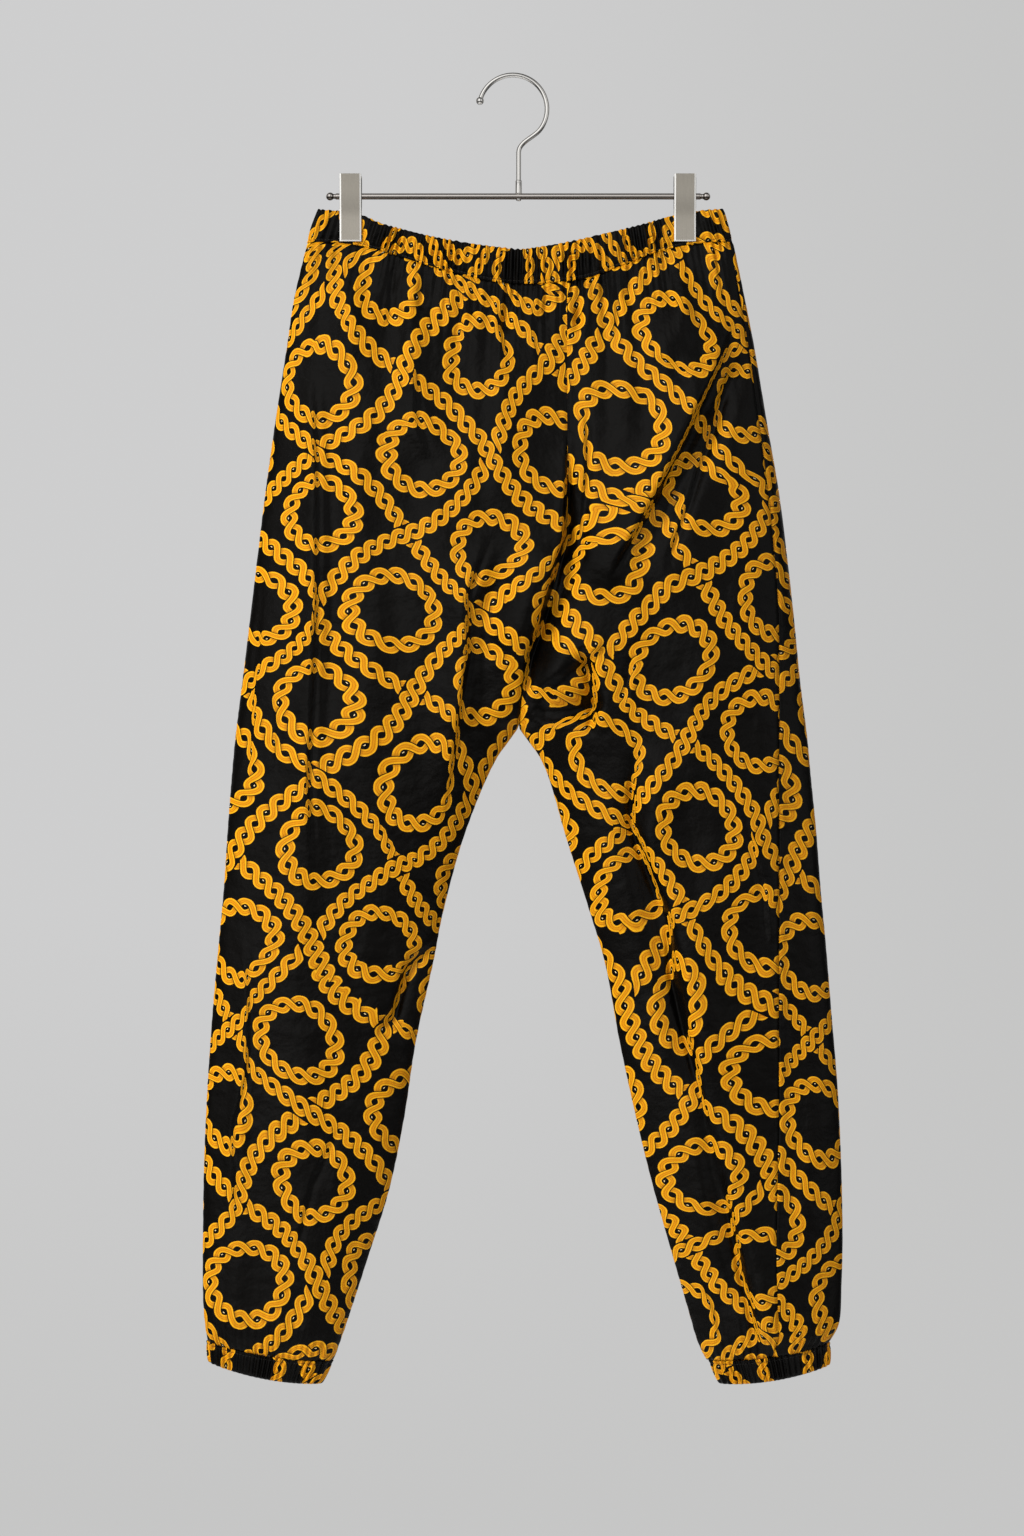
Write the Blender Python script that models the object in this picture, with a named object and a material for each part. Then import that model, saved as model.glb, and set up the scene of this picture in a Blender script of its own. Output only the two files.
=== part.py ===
"""Joggers hanging flat from a two-clip metal hanger.

All sizes are in millimetres and are turned into metres when a mesh is made. +Z is up, the front faces
-Y, and the origin is where a rail bears on the inner side of the hook's crown. Left and right are as
seen from the front.
"""
import math
from collections import namedtuple

import bmesh
import bpy
import numpy as np

METRES = 0.001
HALF_GAP = 0.18  # each edge of a seam stands this far back from the seam line
FRONT = -1.0
BACK = 1.0

# Cloth
LEG_WALL = 1.2
BAND_WALL = 2.2
CUFF_WALL = 1.8
FRONT_COLUMNS = 18
BACK_COLUMNS = 16
WRAP_COLUMNS = 3  # of the right back panel's columns, those that lie on the front
EDGE_CROWDING = 0.7  # how much closer the columns lie near the silhouettes, from 0 to 1
MOST_SHELL_FACTOR = 1.3  # keeps the wall from growing too thick in a sharp crease
TRUNK_ROWS = 12
LEG_ROWS = 14

# Hanger
WIRE_RADIUS = 2.0
CROWN_RADIUS = 29.6
BAR_RADIUS = 2.4
BAR_HEIGHT = -103.3
BAR_BALL_RADIUS = 3.5
BALL_STEPS = 6
STEM_X = 4.0
BAR_BALLS_X = (-160.0, 167.3)
HOOK_CENTRE_X = -0.9
HOOK_BALL_RADIUS = 3.5
TIP_ANGLE = math.radians(166.0)  # the hook's circle runs from here, over the crown
LEAVE_ANGLE = math.radians(-34.0)  # to here, and then bends back to the stem
STEM_TOP = -66.0
COLLAR_TOP = -89.5
CLIP_WIDTH = 18.8
CLIP_PLATE = 1.4
CLIP_EDGE = 0.3
SPRING_LENGTH = 13.0
SPRING_RADIUS = 5.6
FIT_GAP = 0.3  # between neighbouring pieces of the hanger

# One row for each level of the garment, from under the waistband down to the ankle. seam_in is how far
# the right side seam lies in from the silhouette, on the front.
Level = namedtuple("Level", "left_x left_z right_x right_z half_depth seam_in")
LEVELS = (
    Level(-180.5, -145.0, 191.0, -145.0, 14, 3),
    Level(-192.0, -193.5, 201.0, -193.5, 18, 4),
    Level(-198.5, -237.0, 209.5, -237.0, 22, 5),
    Level(-208.5, -302.5, 220.5, -302.5, 26, 7),
    Level(-217.5, -367.5, 231.5, -367.5, 28, 10),
    Level(-228.0, -454.5, 242.0, -454.5, 29, 13),
    Level(-236.5, -524.5, 249.0, -524.5, 28, 19),
    Level(-242.5, -572.0, 255.0, -572.0, 27, 25),
    Level(-246.0, -609.5, 258.5, -609.5, 26, 29),
    Level(-249.5, -655.0, 263.0, -655.0, 25, 33),
    Level(-253.0, -707.0, 267.0, -707.0, 24, 37),
    Level(-257.5, -755.0, 271.5, -755.0, 23, 42),
    Level(-262.5, -811.5, 276.5, -816.0, 22, 47),
    Level(-267.0, -876.5, 281.5, -876.5, 21, 52),
    Level(-270.0, -942.0, 284.5, -937.5, 20, 56),
    Level(-271.0, -1003.0, 286.0, -1003.0, 19, 59),
    Level(-271.0, -1055.0, 283.5, -1055.0, 17, 57),
    Level(-268.0, -1098.5, 276.5, -1098.5, 14, 50),
)
CROTCH = 7

# The centre seam at the levels down to the crotch, and the two inseams from the crotch down.
Centre = namedtuple("Centre", "x z")
CENTRES = (
    Centre(46.0, -179.0),
    Centre(46.0, -224.0),
    Centre(46.0, -280.5),
    Centre(46.0, -341.5),
    Centre(44.5, -398.0),
    Centre(31.5, -452.0),
    Centre(11.5, -507.0),
    Centre(4.0, -565.5),
)
Inseam = namedtuple("Inseam", "left_x left_z right_x right_z")
INSEAMS = (
    Inseam(4.0, -565.5, 4.0, -565.5),
    Inseam(-19.0, -601.0, 26.5, -601.0),
    Inseam(-43.5, -662.0, 45.0, -662.0),
    Inseam(-61.0, -726.0, 63.5, -720.0),
    Inseam(-69.5, -769.5, 79.0, -772.5),
    Inseam(-84.5, -837.5, 91.0, -837.5),
    Inseam(-95.0, -905.5, 104.5, -900.0),
    Inseam(-108.0, -968.0, 120.0, -963.5),
    Inseam(-126.0, -1025.5, 137.5, -1025.5),
    Inseam(-143.5, -1079.5, 152.0, -1074.0),
    Inseam(-156.0, -1115.5, 167.0, -1114.5),
)
SPLIT_LEVELS = 2.6  # the legs draw apart over this many levels above the crotch
PINCH_LEVELS = 1.7  # the clips' pinch fades out over this many levels
SAG_LEVELS = 4.0  # and the waistband's sag over these

# The waistband's upper and lower edges, and its half depth, which the two clips pinch.
BAND_TOP_X = (-170.5, -151.5, -132.0, -116.5, -98.5, -79.0, -52.0, -10.5,
              5.0, 22.0, 53.0, 76.5, 97.5, 116.5, 135.5, 162.5, 182.5)
BAND_TOP_Z = (-115.5, -117.0, -120.5, -127.0, -132.0, -137.0, -142.5, -148.5,
              -150.0, -148.0, -142.5, -137.0, -132.0, -127.0, -121.5, -116.5, -115.0)
BAND_FOOT_X = (-180.0, -160.0, -142.5, -121.0, -86.0, -52.0, -10.5, 5.0,
               31.5, 62.0, 97.5, 127.0, 153.0, 175.0, 190.5)
BAND_FOOT_Z = (-144.5, -144.0, -145.5, -150.0, -161.5, -171.5, -180.5, -181.5,
               -180.5, -176.5, -163.5, -152.0, -146.0, -144.0, -144.5)
PINCH_X = (-180.0, -165.0, -154.0, -130.0, -110.0, -60.0, 0.0, 62.0, 116.0, 136.0, 161.0, 172.0, 191.0)
PINCH_HALF = (6.0, 5.0, 3.0, 3.0, 7.0, 12.0, 14.0, 12.5, 7.0, 3.0, 3.0, 5.0, 6.0)
BAND_END_ROUND = 10.0
BAND_GATHERS = 104
BAND_ROWS = 2
GATHER_HEIGHT = 1.0
PINCHED_GATHER = 0.25

# Each ankle casing: the ends of its upper edge and of its hem.
Cuff = namedtuple("Cuff", "name left_x left_z right_x right_z hem_left_x hem_left_z hem_right_x hem_right_z")
CUFFS = (
    Cuff("cuff_left", -267.0, -1098.5, -156.0, -1115.5, -265.5, -1117.5, -167.0, -1136.0),
    Cuff("cuff_right", 168.0, -1114.5, 276.0, -1098.5, 178.5, -1136.0, 274.0, -1120.0),
)
CUFF_HALF_DEPTH = 13.0
CUFF_HEM_HALF_DEPTH = 11.0
CUFF_GATHERS = 28
CUFF_GATHER_HEIGHT = 0.8
HEM_SAG = 4.0  # the ankle's edges hang this far below a straight line
HEM_SAG_LEVELS = 2.0

# The folds: a ridge has a positive rise and a valley a negative one. left and right are its widths on
# its two sides, and path runs down it as (x, z).
Fold = namedtuple("Fold", "side rise left right path")
FOLDS = (
    Fold(FRONT, 7, 24, 11, ((191, -213), (172, -254), (144, -320), (118, -367), (83, -430), (70, -455))),
    Fold(FRONT, -8, 10, 14, ((202, -235), (186, -272), (160, -322), (136, -366), (104, -425))),
    Fold(FRONT, -9, 14, 10, ((46, -330), (45, -402), (31, -455), (12, -504), (8, -560))),
    Fold(FRONT, 6, 20, 12, ((30, -400), (14, -455), (-4, -510))),
    Fold(FRONT, 5, 9, 26, ((120, -570), (124, -611), (116, -659), (140, -733), (160, -829), (172, -896))),
    Fold(FRONT, -7, 12, 9, ((108, -590), (102, -659), (126, -733), (144, -829), (158, -896))),
    Fold(FRONT, 5, 9, 22, ((172, -880), (187, -963), (204, -1022), (216, -1072), (222, -1110))),
    Fold(FRONT, -6, 10, 8, ((160, -880), (175, -963), (192, -1022), (204, -1080))),
    Fold(FRONT, 5, 16, 12, ((-19, -394), (-40, -454), (-45, -537), (-51, -587), (-64, -663))),
    Fold(FRONT, -5, 10, 14, ((-7, -420), (-26, -470), (-30, -540), (-36, -600))),
    Fold(FRONT, 4, 14, 10, ((-176, -241), (-172, -320), (-171, -454), (-178, -620), (-175, -711))),
    Fold(FRONT, -4, 8, 14, ((-162, -250), (-158, -330), (-157, -454), (-163, -620))),
    Fold(FRONT, 4, 12, 10, ((-228, -700), (-232, -855), (-240, -917), (-243, -1000))),
    Fold(FRONT, 5, 9, 12, ((14, -530), (44, -510), (82, -490))),
    Fold(FRONT, -6, 9, 11, ((20, -553), (48, -545), (84, -536))),
    Fold(FRONT, 4, 12, 12, ((-85, -190), (-85, -254), (-83, -302), (-70, -340))),
    Fold(FRONT, 4, 14, 14, ((150, -150), (150, -193), (122, -262))),
    Fold(FRONT, 4, 12, 12, ((-142, -150), (-146, -193), (-140, -262))),
    Fold(FRONT, -3, 10, 10, ((-60, -760), (-84, -790), (-106, -818))),
    Fold(FRONT, -4, 10, 18, ((238, -455), (238, -700), (240, -900), (240, -1080))),
    Fold(BACK, -8, 12, 12, ((46, -330), (44, -402), (30, -455), (12, -504), (8, -560))),
    Fold(BACK, 6, 20, 12, ((-170, -200), (-146, -260), (-108, -340), (-70, -420), (-44, -470))),
    Fold(BACK, -6, 11, 14, ((-152, -200), (-128, -262), (-90, -340), (-56, -410))),
    Fold(BACK, 5, 12, 18, ((150, -150), (156, -215), (136, -300), (104, -372))),
    Fold(BACK, 5, 14, 14, ((96, -400), (80, -470), (52, -520))),
    Fold(BACK, 5, 14, 18, ((-120, -560), (-132, -650), (-140, -740), (-158, -860))),
    Fold(BACK, -5, 11, 11, ((-98, -575), (-112, -660), (-120, -745), (-138, -850))),
    Fold(BACK, 5, 16, 12, ((150, -560), (168, -680), (178, -800), (196, -900))),
    Fold(BACK, -5, 10, 12, ((170, -600), (186, -690), (197, -800), (210, -880))),
    Fold(BACK, 4, 12, 14, ((-190, -840), (-200, -930), (-214, -1010), (-220, -1080))),
    Fold(BACK, 4, 14, 10, ((214, -880), (222, -960), (230, -1030), (232, -1090))),
    Fold(BACK, -5, 10, 10, ((-20, -560), (-54, -552), (-88, -556))),
)
FOLD_TAPER = 0.25  # share of a fold's length over which each end fades

# A clip plate's inner face, from its free upper end down to the jaw.
Bend = namedtuple("Bend", "y z")
CLIP_BENDS = (Bend(8.6, -83.4), Bend(6.4, -103.3), Bend(3.7, -120.0), Bend(3.7, -143.4))
CLIP_CENTRES = {"left": -142.0, "right": 148.6}


def clear_scene():
    for item in list(bpy.data.objects):
        bpy.data.objects.remove(item, do_unlink=True)


def material(name, colour, roughness, metallic):
    made = bpy.data.materials.new(name)
    made.use_nodes = True
    shader = made.node_tree.nodes["Principled BSDF"]
    shader.inputs["Base Color"].default_value = (*colour, 1.0)
    shader.inputs["Roughness"].default_value = roughness
    shader.inputs["Metallic"].default_value = metallic
    return made


def smooth_curve(knots, values, at):
    """A curve that passes smoothly through a table's values."""
    knots = np.asarray(knots, float)
    values = np.asarray(values, float)
    slopes = np.gradient(values, knots)
    first = int(np.clip(np.searchsorted(knots, at, side="right") - 1, 0, len(knots) - 2))
    step = knots[first + 1] - knots[first]
    share = (at - knots[first]) / step
    rest = 1.0 - share
    start = values[first] * (1 + 2 * share) * rest**2 + slopes[first] * step * share * rest**2
    end = values[first + 1] * (3 - 2 * share) * share**2 - slopes[first + 1] * step * rest * share**2
    return start + end


def column(table, name):
    return [getattr(row, name) for row in table]


def level_value(name, level):
    return smooth_curve(range(len(LEVELS)), column(LEVELS, name), level)


def inner_edge(side, level):
    """x and z of the centre seam above the crotch, or of this leg's inseam below it."""
    if level <= CROTCH:
        knots = range(len(CENTRES))
        x = smooth_curve(knots, column(CENTRES, "x"), level)
        return x, smooth_curve(knots, column(CENTRES, "z"), level)
    knots = range(CROTCH, CROTCH + len(INSEAMS))
    x = smooth_curve(knots, column(INSEAMS, side + "_x"), level)
    return x, smooth_curve(knots, column(INSEAMS, side + "_z"), level)


def fade(value):
    """0 to 1, eased at both ends."""
    value = min(max(value, 0.0), 1.0)
    return value * value * (3.0 - 2.0 * value)


def rounding(share):
    """The height of a quarter circle, 0 at its edge and 1 from its middle on."""
    share = min(max(share, 0.0), 1.0)
    return math.sqrt(1.0 - (1.0 - share) ** 2)


def pinched_half_depth(x, left_end, right_end):
    ends = rounding((x - left_end) / BAND_END_ROUND) * rounding((right_end - x) / BAND_END_ROUND)
    return np.interp(x, PINCH_X, PINCH_HALF) * ends


def fold_height(fold, x, z):
    """How far one fold lifts the cloth at (x, z), seen flat."""
    path = np.array(fold.path, float)
    starts = path[:-1]
    steps = path[1:] - starts
    offset = np.array((x, z)) - starts
    along = np.clip((offset * steps).sum(axis=1) / (steps**2).sum(axis=1), 0.0, 1.0)
    away = offset - steps * along[:, None]
    distances = np.hypot(away[:, 0], away[:, 1])
    nearest = int(distances.argmin())
    turn = steps[nearest, 0] * away[nearest, 1] - steps[nearest, 1] * away[nearest, 0]
    width = fold.right if turn > 0 else fold.left
    run = (nearest + along[nearest]) / len(steps)
    ends = fade(run / FOLD_TAPER) * fade((1.0 - run) / FOLD_TAPER)
    return fold.rise * ends * math.exp(-((distances[nearest] / width) ** 2))


def hem_sag(share):
    return HEM_SAG * 4.0 * share * (1.0 - share)


def width_share(turn):
    """The share of the width from the silhouette to the inner edge. turn runs from 0 to 1, and its equal
    steps lie closer near the edges, where the cloth rounds away."""
    eased = 0.5 * (1.0 - math.cos(math.pi * turn))
    return EDGE_CROWDING * eased + (1.0 - EDGE_CROWDING) * turn


def leg_point(side, level, turn):
    """A point of the cloth's outer face. turn is -1 at the front's inner edge, 0 at the silhouette and 1 at
    the back's inner edge."""
    outer_x = level_value(side + "_x", level)
    outer_z = level_value(side + "_z", level)
    inner_x, inner_z = inner_edge(side, level)
    share = width_share(abs(turn))
    x = outer_x + (inner_x - outer_x) * share
    z = outer_z + (inner_z - outer_z) * share
    edge_x = getattr(LEVELS[0], side + "_x")
    edge_z = getattr(LEVELS[0], side + "_z")
    top_x = edge_x + (CENTRES[0].x - edge_x) * share
    top_line = edge_z + (CENTRES[0].z - edge_z) * share
    sag = smooth_curve(BAND_FOOT_X, BAND_FOOT_Z, top_x) - top_line
    pinch = 1.0 - fade(level / PINCH_LEVELS)
    z += sag * (1.0 - fade(level / SAG_LEVELS))
    z -= hem_sag(share) * fade(1.0 - (len(LEVELS) - 1 - level) / HEM_SAG_LEVELS)
    joined = rounding((CROTCH - level) / SPLIT_LEVELS)
    round_inner = joined + (1.0 - joined) * rounding(2.0 * (1.0 - share))
    roundness = rounding(2.0 * share) * round_inner
    body = level_value("half_depth", level) * roundness
    band = pinched_half_depth(x, level_value("left_x", level), level_value("right_x", level))
    face = BACK if turn > 0 else FRONT
    folds = sum(fold_height(fold, x, z) for fold in FOLDS if fold.side == face)
    depth = body + (band - body) * pinch + folds * roundness * fade(level)
    return np.array((x, face * depth, z))


def seam_turn(side, level):
    """Where the side seam lies: at the silhouette, or on the front of the right leg."""
    if side == "left":
        return 0.0
    width = level_value("right_x", level) - inner_edge("right", level)[0]
    turns = np.linspace(0.0, 1.0, 201)
    shares = [width_share(turn) for turn in turns]
    return -float(np.interp(level_value("seam_in", level) / width, shares, turns))


def cloth_levels():
    trunk = np.linspace(0, CROTCH, TRUNK_ROWS + 1)
    legs = np.linspace(CROTCH, len(LEVELS) - 1, LEG_ROWS + 1)
    return [*trunk, *legs[1:]]


def mesh_object(name, solid, finish):
    bmesh.ops.recalc_face_normals(solid, faces=solid.faces[:])
    mesh = bpy.data.meshes.new(name)
    solid.to_mesh(mesh)
    solid.free()
    mesh.materials.append(finish)
    made = bpy.data.objects.new(name, mesh)
    bpy.context.collection.objects.link(made)
    return made


def wall(name, outer, inner, ring, finish):
    """A closed wall between two grids of points. A ring's last column joins its first."""
    solid = bmesh.new()
    faces = [[[solid.verts.new(point * METRES) for point in row] for row in grid] for grid in (outer, inner)]
    rows = len(outer)
    columns = len(outer[0])
    steps = columns if ring else columns - 1
    for grid in faces:
        for row in range(rows - 1):
            for step in range(steps):
                after = (step + 1) % columns
                solid.faces.new((grid[row][step], grid[row][after], grid[row + 1][after], grid[row + 1][step]))
    for row in (0, rows - 1):
        for step in range(steps):
            after = (step + 1) % columns
            solid.faces.new((faces[0][row][step], faces[0][row][after],
                             faces[1][row][after], faces[1][row][step]))
    if not ring:
        for step in (0, columns - 1):
            for row in range(rows - 1):
                solid.faces.new((faces[0][row][step], faces[0][row + 1][step],
                                 faces[1][row + 1][step], faces[1][row][step]))
    return mesh_object(name, solid, finish)


def draw_back(points, neighbours):
    """Edge points moved off the seam line, towards their neighbours."""
    steps = neighbours - points
    return points + steps / np.linalg.norm(steps, axis=1)[:, None] * HALF_GAP


def panel(name, outer, inner, finish):
    """One leg panel as a wall, with its four edges set back from the seam lines."""
    grids = []
    for grid in (outer, inner):
        grid = np.array(grid)
        whole = grid.copy()
        grid[0] = draw_back(whole[0], whole[1])
        grid[-1] = draw_back(whole[-1], whole[-2])
        grid[:, 0] += draw_back(whole[:, 0], whole[:, 1]) - whole[:, 0]
        grid[:, -1] += draw_back(whole[:, -1], whole[:, -2]) - whole[:, -1]
        grids.append(grid)
    wall(name, grids[0], grids[1], False, finish)


def inner_point(vert):
    depth = LEG_WALL * min(vert.calc_shell_factor(), MOST_SHELL_FACTOR)
    return np.array(vert.co) / METRES - np.array(vert.normal) * depth


def leg_panels(finish):
    """The four leg panels, cut from one skin so that their walls meet at the seams."""
    skin = bmesh.new()
    found = {}
    grids = {}
    levels = cloth_levels()
    for side in ("left", "right"):
        rows = []
        for level in levels:
            seam = seam_turn(side, level)
            front = np.linspace(-1.0, seam, FRONT_COLUMNS + 1)
            wrap = WRAP_COLUMNS if seam < 0.0 else 0
            wrapped = np.linspace(seam, 0.0, wrap + 1)[1:]
            back = np.linspace(0.0, 1.0, BACK_COLUMNS - wrap + 1)[1:]
            row = []
            for turn in (*front, *wrapped, *back):
                point = leg_point(side, level, turn)
                if level >= CROTCH and abs(turn) == 1.0:
                    point[1] = 0.0
                key = tuple(np.round(point, 3) + 0.0)
                if key not in found:
                    found[key] = skin.verts.new(point * METRES)
                row.append(found[key])
            rows.append(row)
        grids[side] = rows
    for rows in grids.values():
        for above, below in zip(rows, rows[1:]):
            for step in range(len(above) - 1):
                skin.faces.new((above[step], above[step + 1], below[step + 1], below[step]))
    bmesh.ops.recalc_face_normals(skin, faces=skin.faces[:])
    skin.normal_update()
    for side, rows in grids.items():
        outer = [[np.array(vert.co) / METRES for vert in row] for row in rows]
        inner = [[inner_point(vert) for vert in row] for row in rows]
        split = FRONT_COLUMNS
        panel("front_" + side, [row[:split + 1] for row in outer], [row[:split + 1] for row in inner], finish)
        panel("back_" + side, [row[split:] for row in outer], [row[split:] for row in inner], finish)
    skin.free()


def loop_turns(half_depth, left, right, count):
    """Evenly spaced places round a flat loop, as (x share, face)."""
    dense = 400
    angles = np.linspace(0.0, 2.0 * math.pi, 2 * dense + 1)
    shares = 0.5 - 0.5 * np.cos(angles)
    faces = np.where(angles <= math.pi, FRONT, BACK)
    x = left + (right - left) * shares
    y = np.array([face * half_depth(at) for face, at in zip(faces, x)])
    run = np.concatenate(([0.0], np.cumsum(np.hypot(np.diff(x), np.diff(y)))))
    at = np.interp(np.linspace(0.0, run[-1], count, endpoint=False), run, angles)
    return [(0.5 - 0.5 * math.cos(angle), FRONT if angle <= math.pi else BACK) for angle in at]


def gathered_ring(name, rows, wall_depth, height_at, finish):
    """A gathered ring from rows of plain loop points: its outer face zigzags and its inner face is plain."""
    outer = []
    inner = []
    for row in rows:
        row = np.array(row)
        tangents = np.roll(row, -1, axis=0) - np.roll(row, 1, axis=0)
        normals = np.column_stack((tangents[:, 1], -tangents[:, 0], np.zeros(len(row))))
        normals /= np.linalg.norm(normals, axis=1)[:, None]
        lifts = np.array([height_at(point) * (1.0 if step % 2 else -0.6) for step, point in enumerate(row)])
        outer.append(row + normals * lifts[:, None])
        inner.append(row - normals * wall_depth)
    return wall(name, outer, inner, True, finish)


def waistband(finish):
    ends_top = (BAND_TOP_X[0], BAND_TOP_X[-1])
    ends_foot = (BAND_FOOT_X[0], BAND_FOOT_X[-1])
    places = loop_turns(lambda x: pinched_half_depth(x, *ends_top), *ends_top, 2 * BAND_GATHERS)
    rows = []
    for share_down in np.linspace(0.0, 1.0, BAND_ROWS + 1):
        left = ends_top[0] + (ends_foot[0] - ends_top[0]) * share_down
        right = ends_top[1] + (ends_foot[1] - ends_top[1]) * share_down
        row = []
        for share, face in places:
            top_x = ends_top[0] + (ends_top[1] - ends_top[0]) * share
            foot_x = ends_foot[0] + (ends_foot[1] - ends_foot[0]) * share
            x = left + (right - left) * share
            top_z = smooth_curve(BAND_TOP_X, BAND_TOP_Z, top_x)
            foot_z = smooth_curve(BAND_FOOT_X, BAND_FOOT_Z, foot_x) + HALF_GAP
            row.append((x, face * pinched_half_depth(x, left, right), top_z + (foot_z - top_z) * share_down))
        rows.append(row)

    def height_at(point):
        loose = fade((abs(point[1]) - min(PINCH_HALF)) / min(PINCH_HALF))
        near_end = min(point[0] - BAND_FOOT_X[0], BAND_FOOT_X[-1] - point[0]) < 2.0 * BAND_END_ROUND
        return GATHER_HEIGHT * 0.6 if near_end else PINCHED_GATHER + (GATHER_HEIGHT - PINCHED_GATHER) * loose

    gathered_ring("waistband", rows, BAND_WALL, height_at, finish)


def cuffs(finish):
    for cuff in CUFFS:
        def half_depth(x, left=cuff.left_x, right=cuff.right_x):
            share = (x - left) / (right - left)
            return CUFF_HALF_DEPTH * rounding(2.0 * share) * rounding(2.0 * (1.0 - share))

        rows = []
        places = loop_turns(half_depth, cuff.left_x, cuff.right_x, 2 * CUFF_GATHERS)
        edges = (
            (cuff.left_x, cuff.left_z, cuff.right_x, cuff.right_z, CUFF_HALF_DEPTH, -2 * HALF_GAP),
            (cuff.hem_left_x, cuff.hem_left_z, cuff.hem_right_x, cuff.hem_right_z, CUFF_HEM_HALF_DEPTH, 0.0),
        )
        for left_x, left_z, right_x, right_z, depth, lift in edges:
            row = []
            for share, face in places:
                roundness = rounding(2.0 * share) * rounding(2.0 * (1.0 - share))
                row.append((left_x + (right_x - left_x) * share, face * depth * roundness,
                            left_z + (right_z - left_z) * share - hem_sag(share) + lift))
            rows.append(row)
        gathered_ring(cuff.name, rows, CUFF_WALL, lambda point: CUFF_GATHER_HEIGHT, finish)


def tube(name, centres, radii, sides, finish):
    """A round bar along a path in the XZ plane, with a radius for each of its points."""
    centres = np.array(centres, float)
    tangents = np.gradient(centres, axis=0)
    tangents /= np.linalg.norm(tangents, axis=1)[:, None]
    solid = bmesh.new()
    rings = []
    for centre, tangent, radius in zip(centres, tangents, radii):
        across = np.array((-tangent[2], 0.0, tangent[0]))
        ring = []
        for step in range(sides):
            angle = 2.0 * math.pi * step / sides
            offset = across * math.cos(angle) + np.array((0.0, 1.0, 0.0)) * math.sin(angle)
            ring.append(solid.verts.new((centre + offset * radius) * METRES))
        rings.append(ring)
    for above, below in zip(rings, rings[1:]):
        for step in range(sides):
            after = (step + 1) % sides
            solid.faces.new((above[step], above[after], below[after], below[step]))
    solid.faces.new(rings[0])
    solid.faces.new(rings[-1])
    made = mesh_object(name, solid, finish)
    made.data.shade_smooth()
    return made


def ball_profile(radius, neck, steps):
    """(place along the axis, radius) from a ball's far pole to where its neck meets it."""
    angles = np.linspace(math.radians(12.0), math.pi - math.asin(neck / radius), steps)
    return [(-radius * math.cos(angle), radius * math.sin(angle)) for angle in angles]


def hanger_bar(finish):
    ball = ball_profile(BAR_BALL_RADIUS, BAR_RADIUS, BALL_STEPS)
    places = [(BAR_BALLS_X[0] + along, radius) for along, radius in ball]
    places += [(BAR_BALLS_X[1] - along, radius) for along, radius in reversed(ball)]
    centres = [(along, 0.0, BAR_HEIGHT) for along, radius in places]
    tube("hanger_bar", centres, [radius for along, radius in places], 12, finish)


def hanger_hook(finish):
    """The wire from its tip ball over the crown, back under it and down the stem."""
    centre_z = WIRE_RADIUS - CROWN_RADIUS

    def on_circle(angle):
        return np.array((HOOK_CENTRE_X + CROWN_RADIUS * math.cos(angle), 0.0,
                         centre_z + CROWN_RADIUS * math.sin(angle)))

    path = []
    radii = []
    for along, radius in ball_profile(HOOK_BALL_RADIUS, WIRE_RADIUS, BALL_STEPS):
        path.append(on_circle(TIP_ANGLE - along / CROWN_RADIUS))
        radii.append(radius)
    neck_angle = TIP_ANGLE - 1.3 * HOOK_BALL_RADIUS / CROWN_RADIUS
    for angle in np.linspace(neck_angle, LEAVE_ANGLE, 20):
        path.append(on_circle(angle))
        radii.append(WIRE_RADIUS)
    bend_start = path[-1]
    bend_end = np.array((STEM_X, 0.0, STEM_TOP))
    leave = np.array((math.sin(LEAVE_ANGLE), 0.0, -math.cos(LEAVE_ANGLE)))
    bend_pull = 10.5
    pull_start = bend_start + leave * bend_pull
    pull_end = bend_end + np.array((0.0, 0.0, bend_pull))
    for share in np.linspace(0.0, 1.0, 9)[1:]:
        rest = 1.0 - share
        path.append(bend_start * rest**3 + pull_start * 3 * share * rest**2
                    + pull_end * 3 * share**2 * rest + bend_end * share**3)
        radii.append(WIRE_RADIUS)
    path.append((STEM_X, 0.0, COLLAR_TOP + FIT_GAP))
    radii.append(WIRE_RADIUS)
    tube("hanger_hook", path, radii, 12, finish)


def hanger_joint(finish):
    """The ferrule between stem and bar, and the rivet end under the bar."""
    foot = BAR_HEIGHT + BAR_RADIUS + FIT_GAP
    chamfer = 0.6
    heights = (COLLAR_TOP, COLLAR_TOP - chamfer, foot + chamfer, foot)
    tube("hanger_collar", [(STEM_X, 0.0, height) for height in heights], (2.3, 2.9, 2.9, 2.3), 16, finish)
    nub_top = BAR_HEIGHT - BAR_RADIUS - FIT_GAP
    heights = (nub_top, nub_top - 0.9, nub_top - 1.6)
    tube("hanger_nub", [(STEM_X, 0.0, height) for height in heights], (2.2, 1.9, 0.8), 12, finish)


def clip_plate(name, centre_x, face, finish):
    """One bent plate of a clip, extruded across its width from its side profile."""
    inner = [(face * bend.y, bend.z) for bend in CLIP_BENDS]
    outer = [(face * (bend.y + CLIP_PLATE), bend.z) for bend in reversed(CLIP_BENDS)]
    left = centre_x - CLIP_WIDTH / 2.0
    solid = bmesh.new()
    corners = [solid.verts.new(np.array((left, y, z)) * METRES) for y, z in inner + outer]
    side = solid.faces.new(corners)
    swept = bmesh.ops.extrude_face_region(solid, geom=[side])
    moved = [item for item in swept["geom"] if isinstance(item, bmesh.types.BMVert)]
    bmesh.ops.translate(solid, verts=moved, vec=(CLIP_WIDTH * METRES, 0.0, 0.0))
    made = mesh_object(name, solid, finish)
    bevel = made.modifiers.new("edge", "BEVEL")
    bevel.width = CLIP_EDGE * METRES
    bevel.segments = 1
    bevel.limit_method = "ANGLE"
    bevel.angle_limit = math.radians(50.0)


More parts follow.
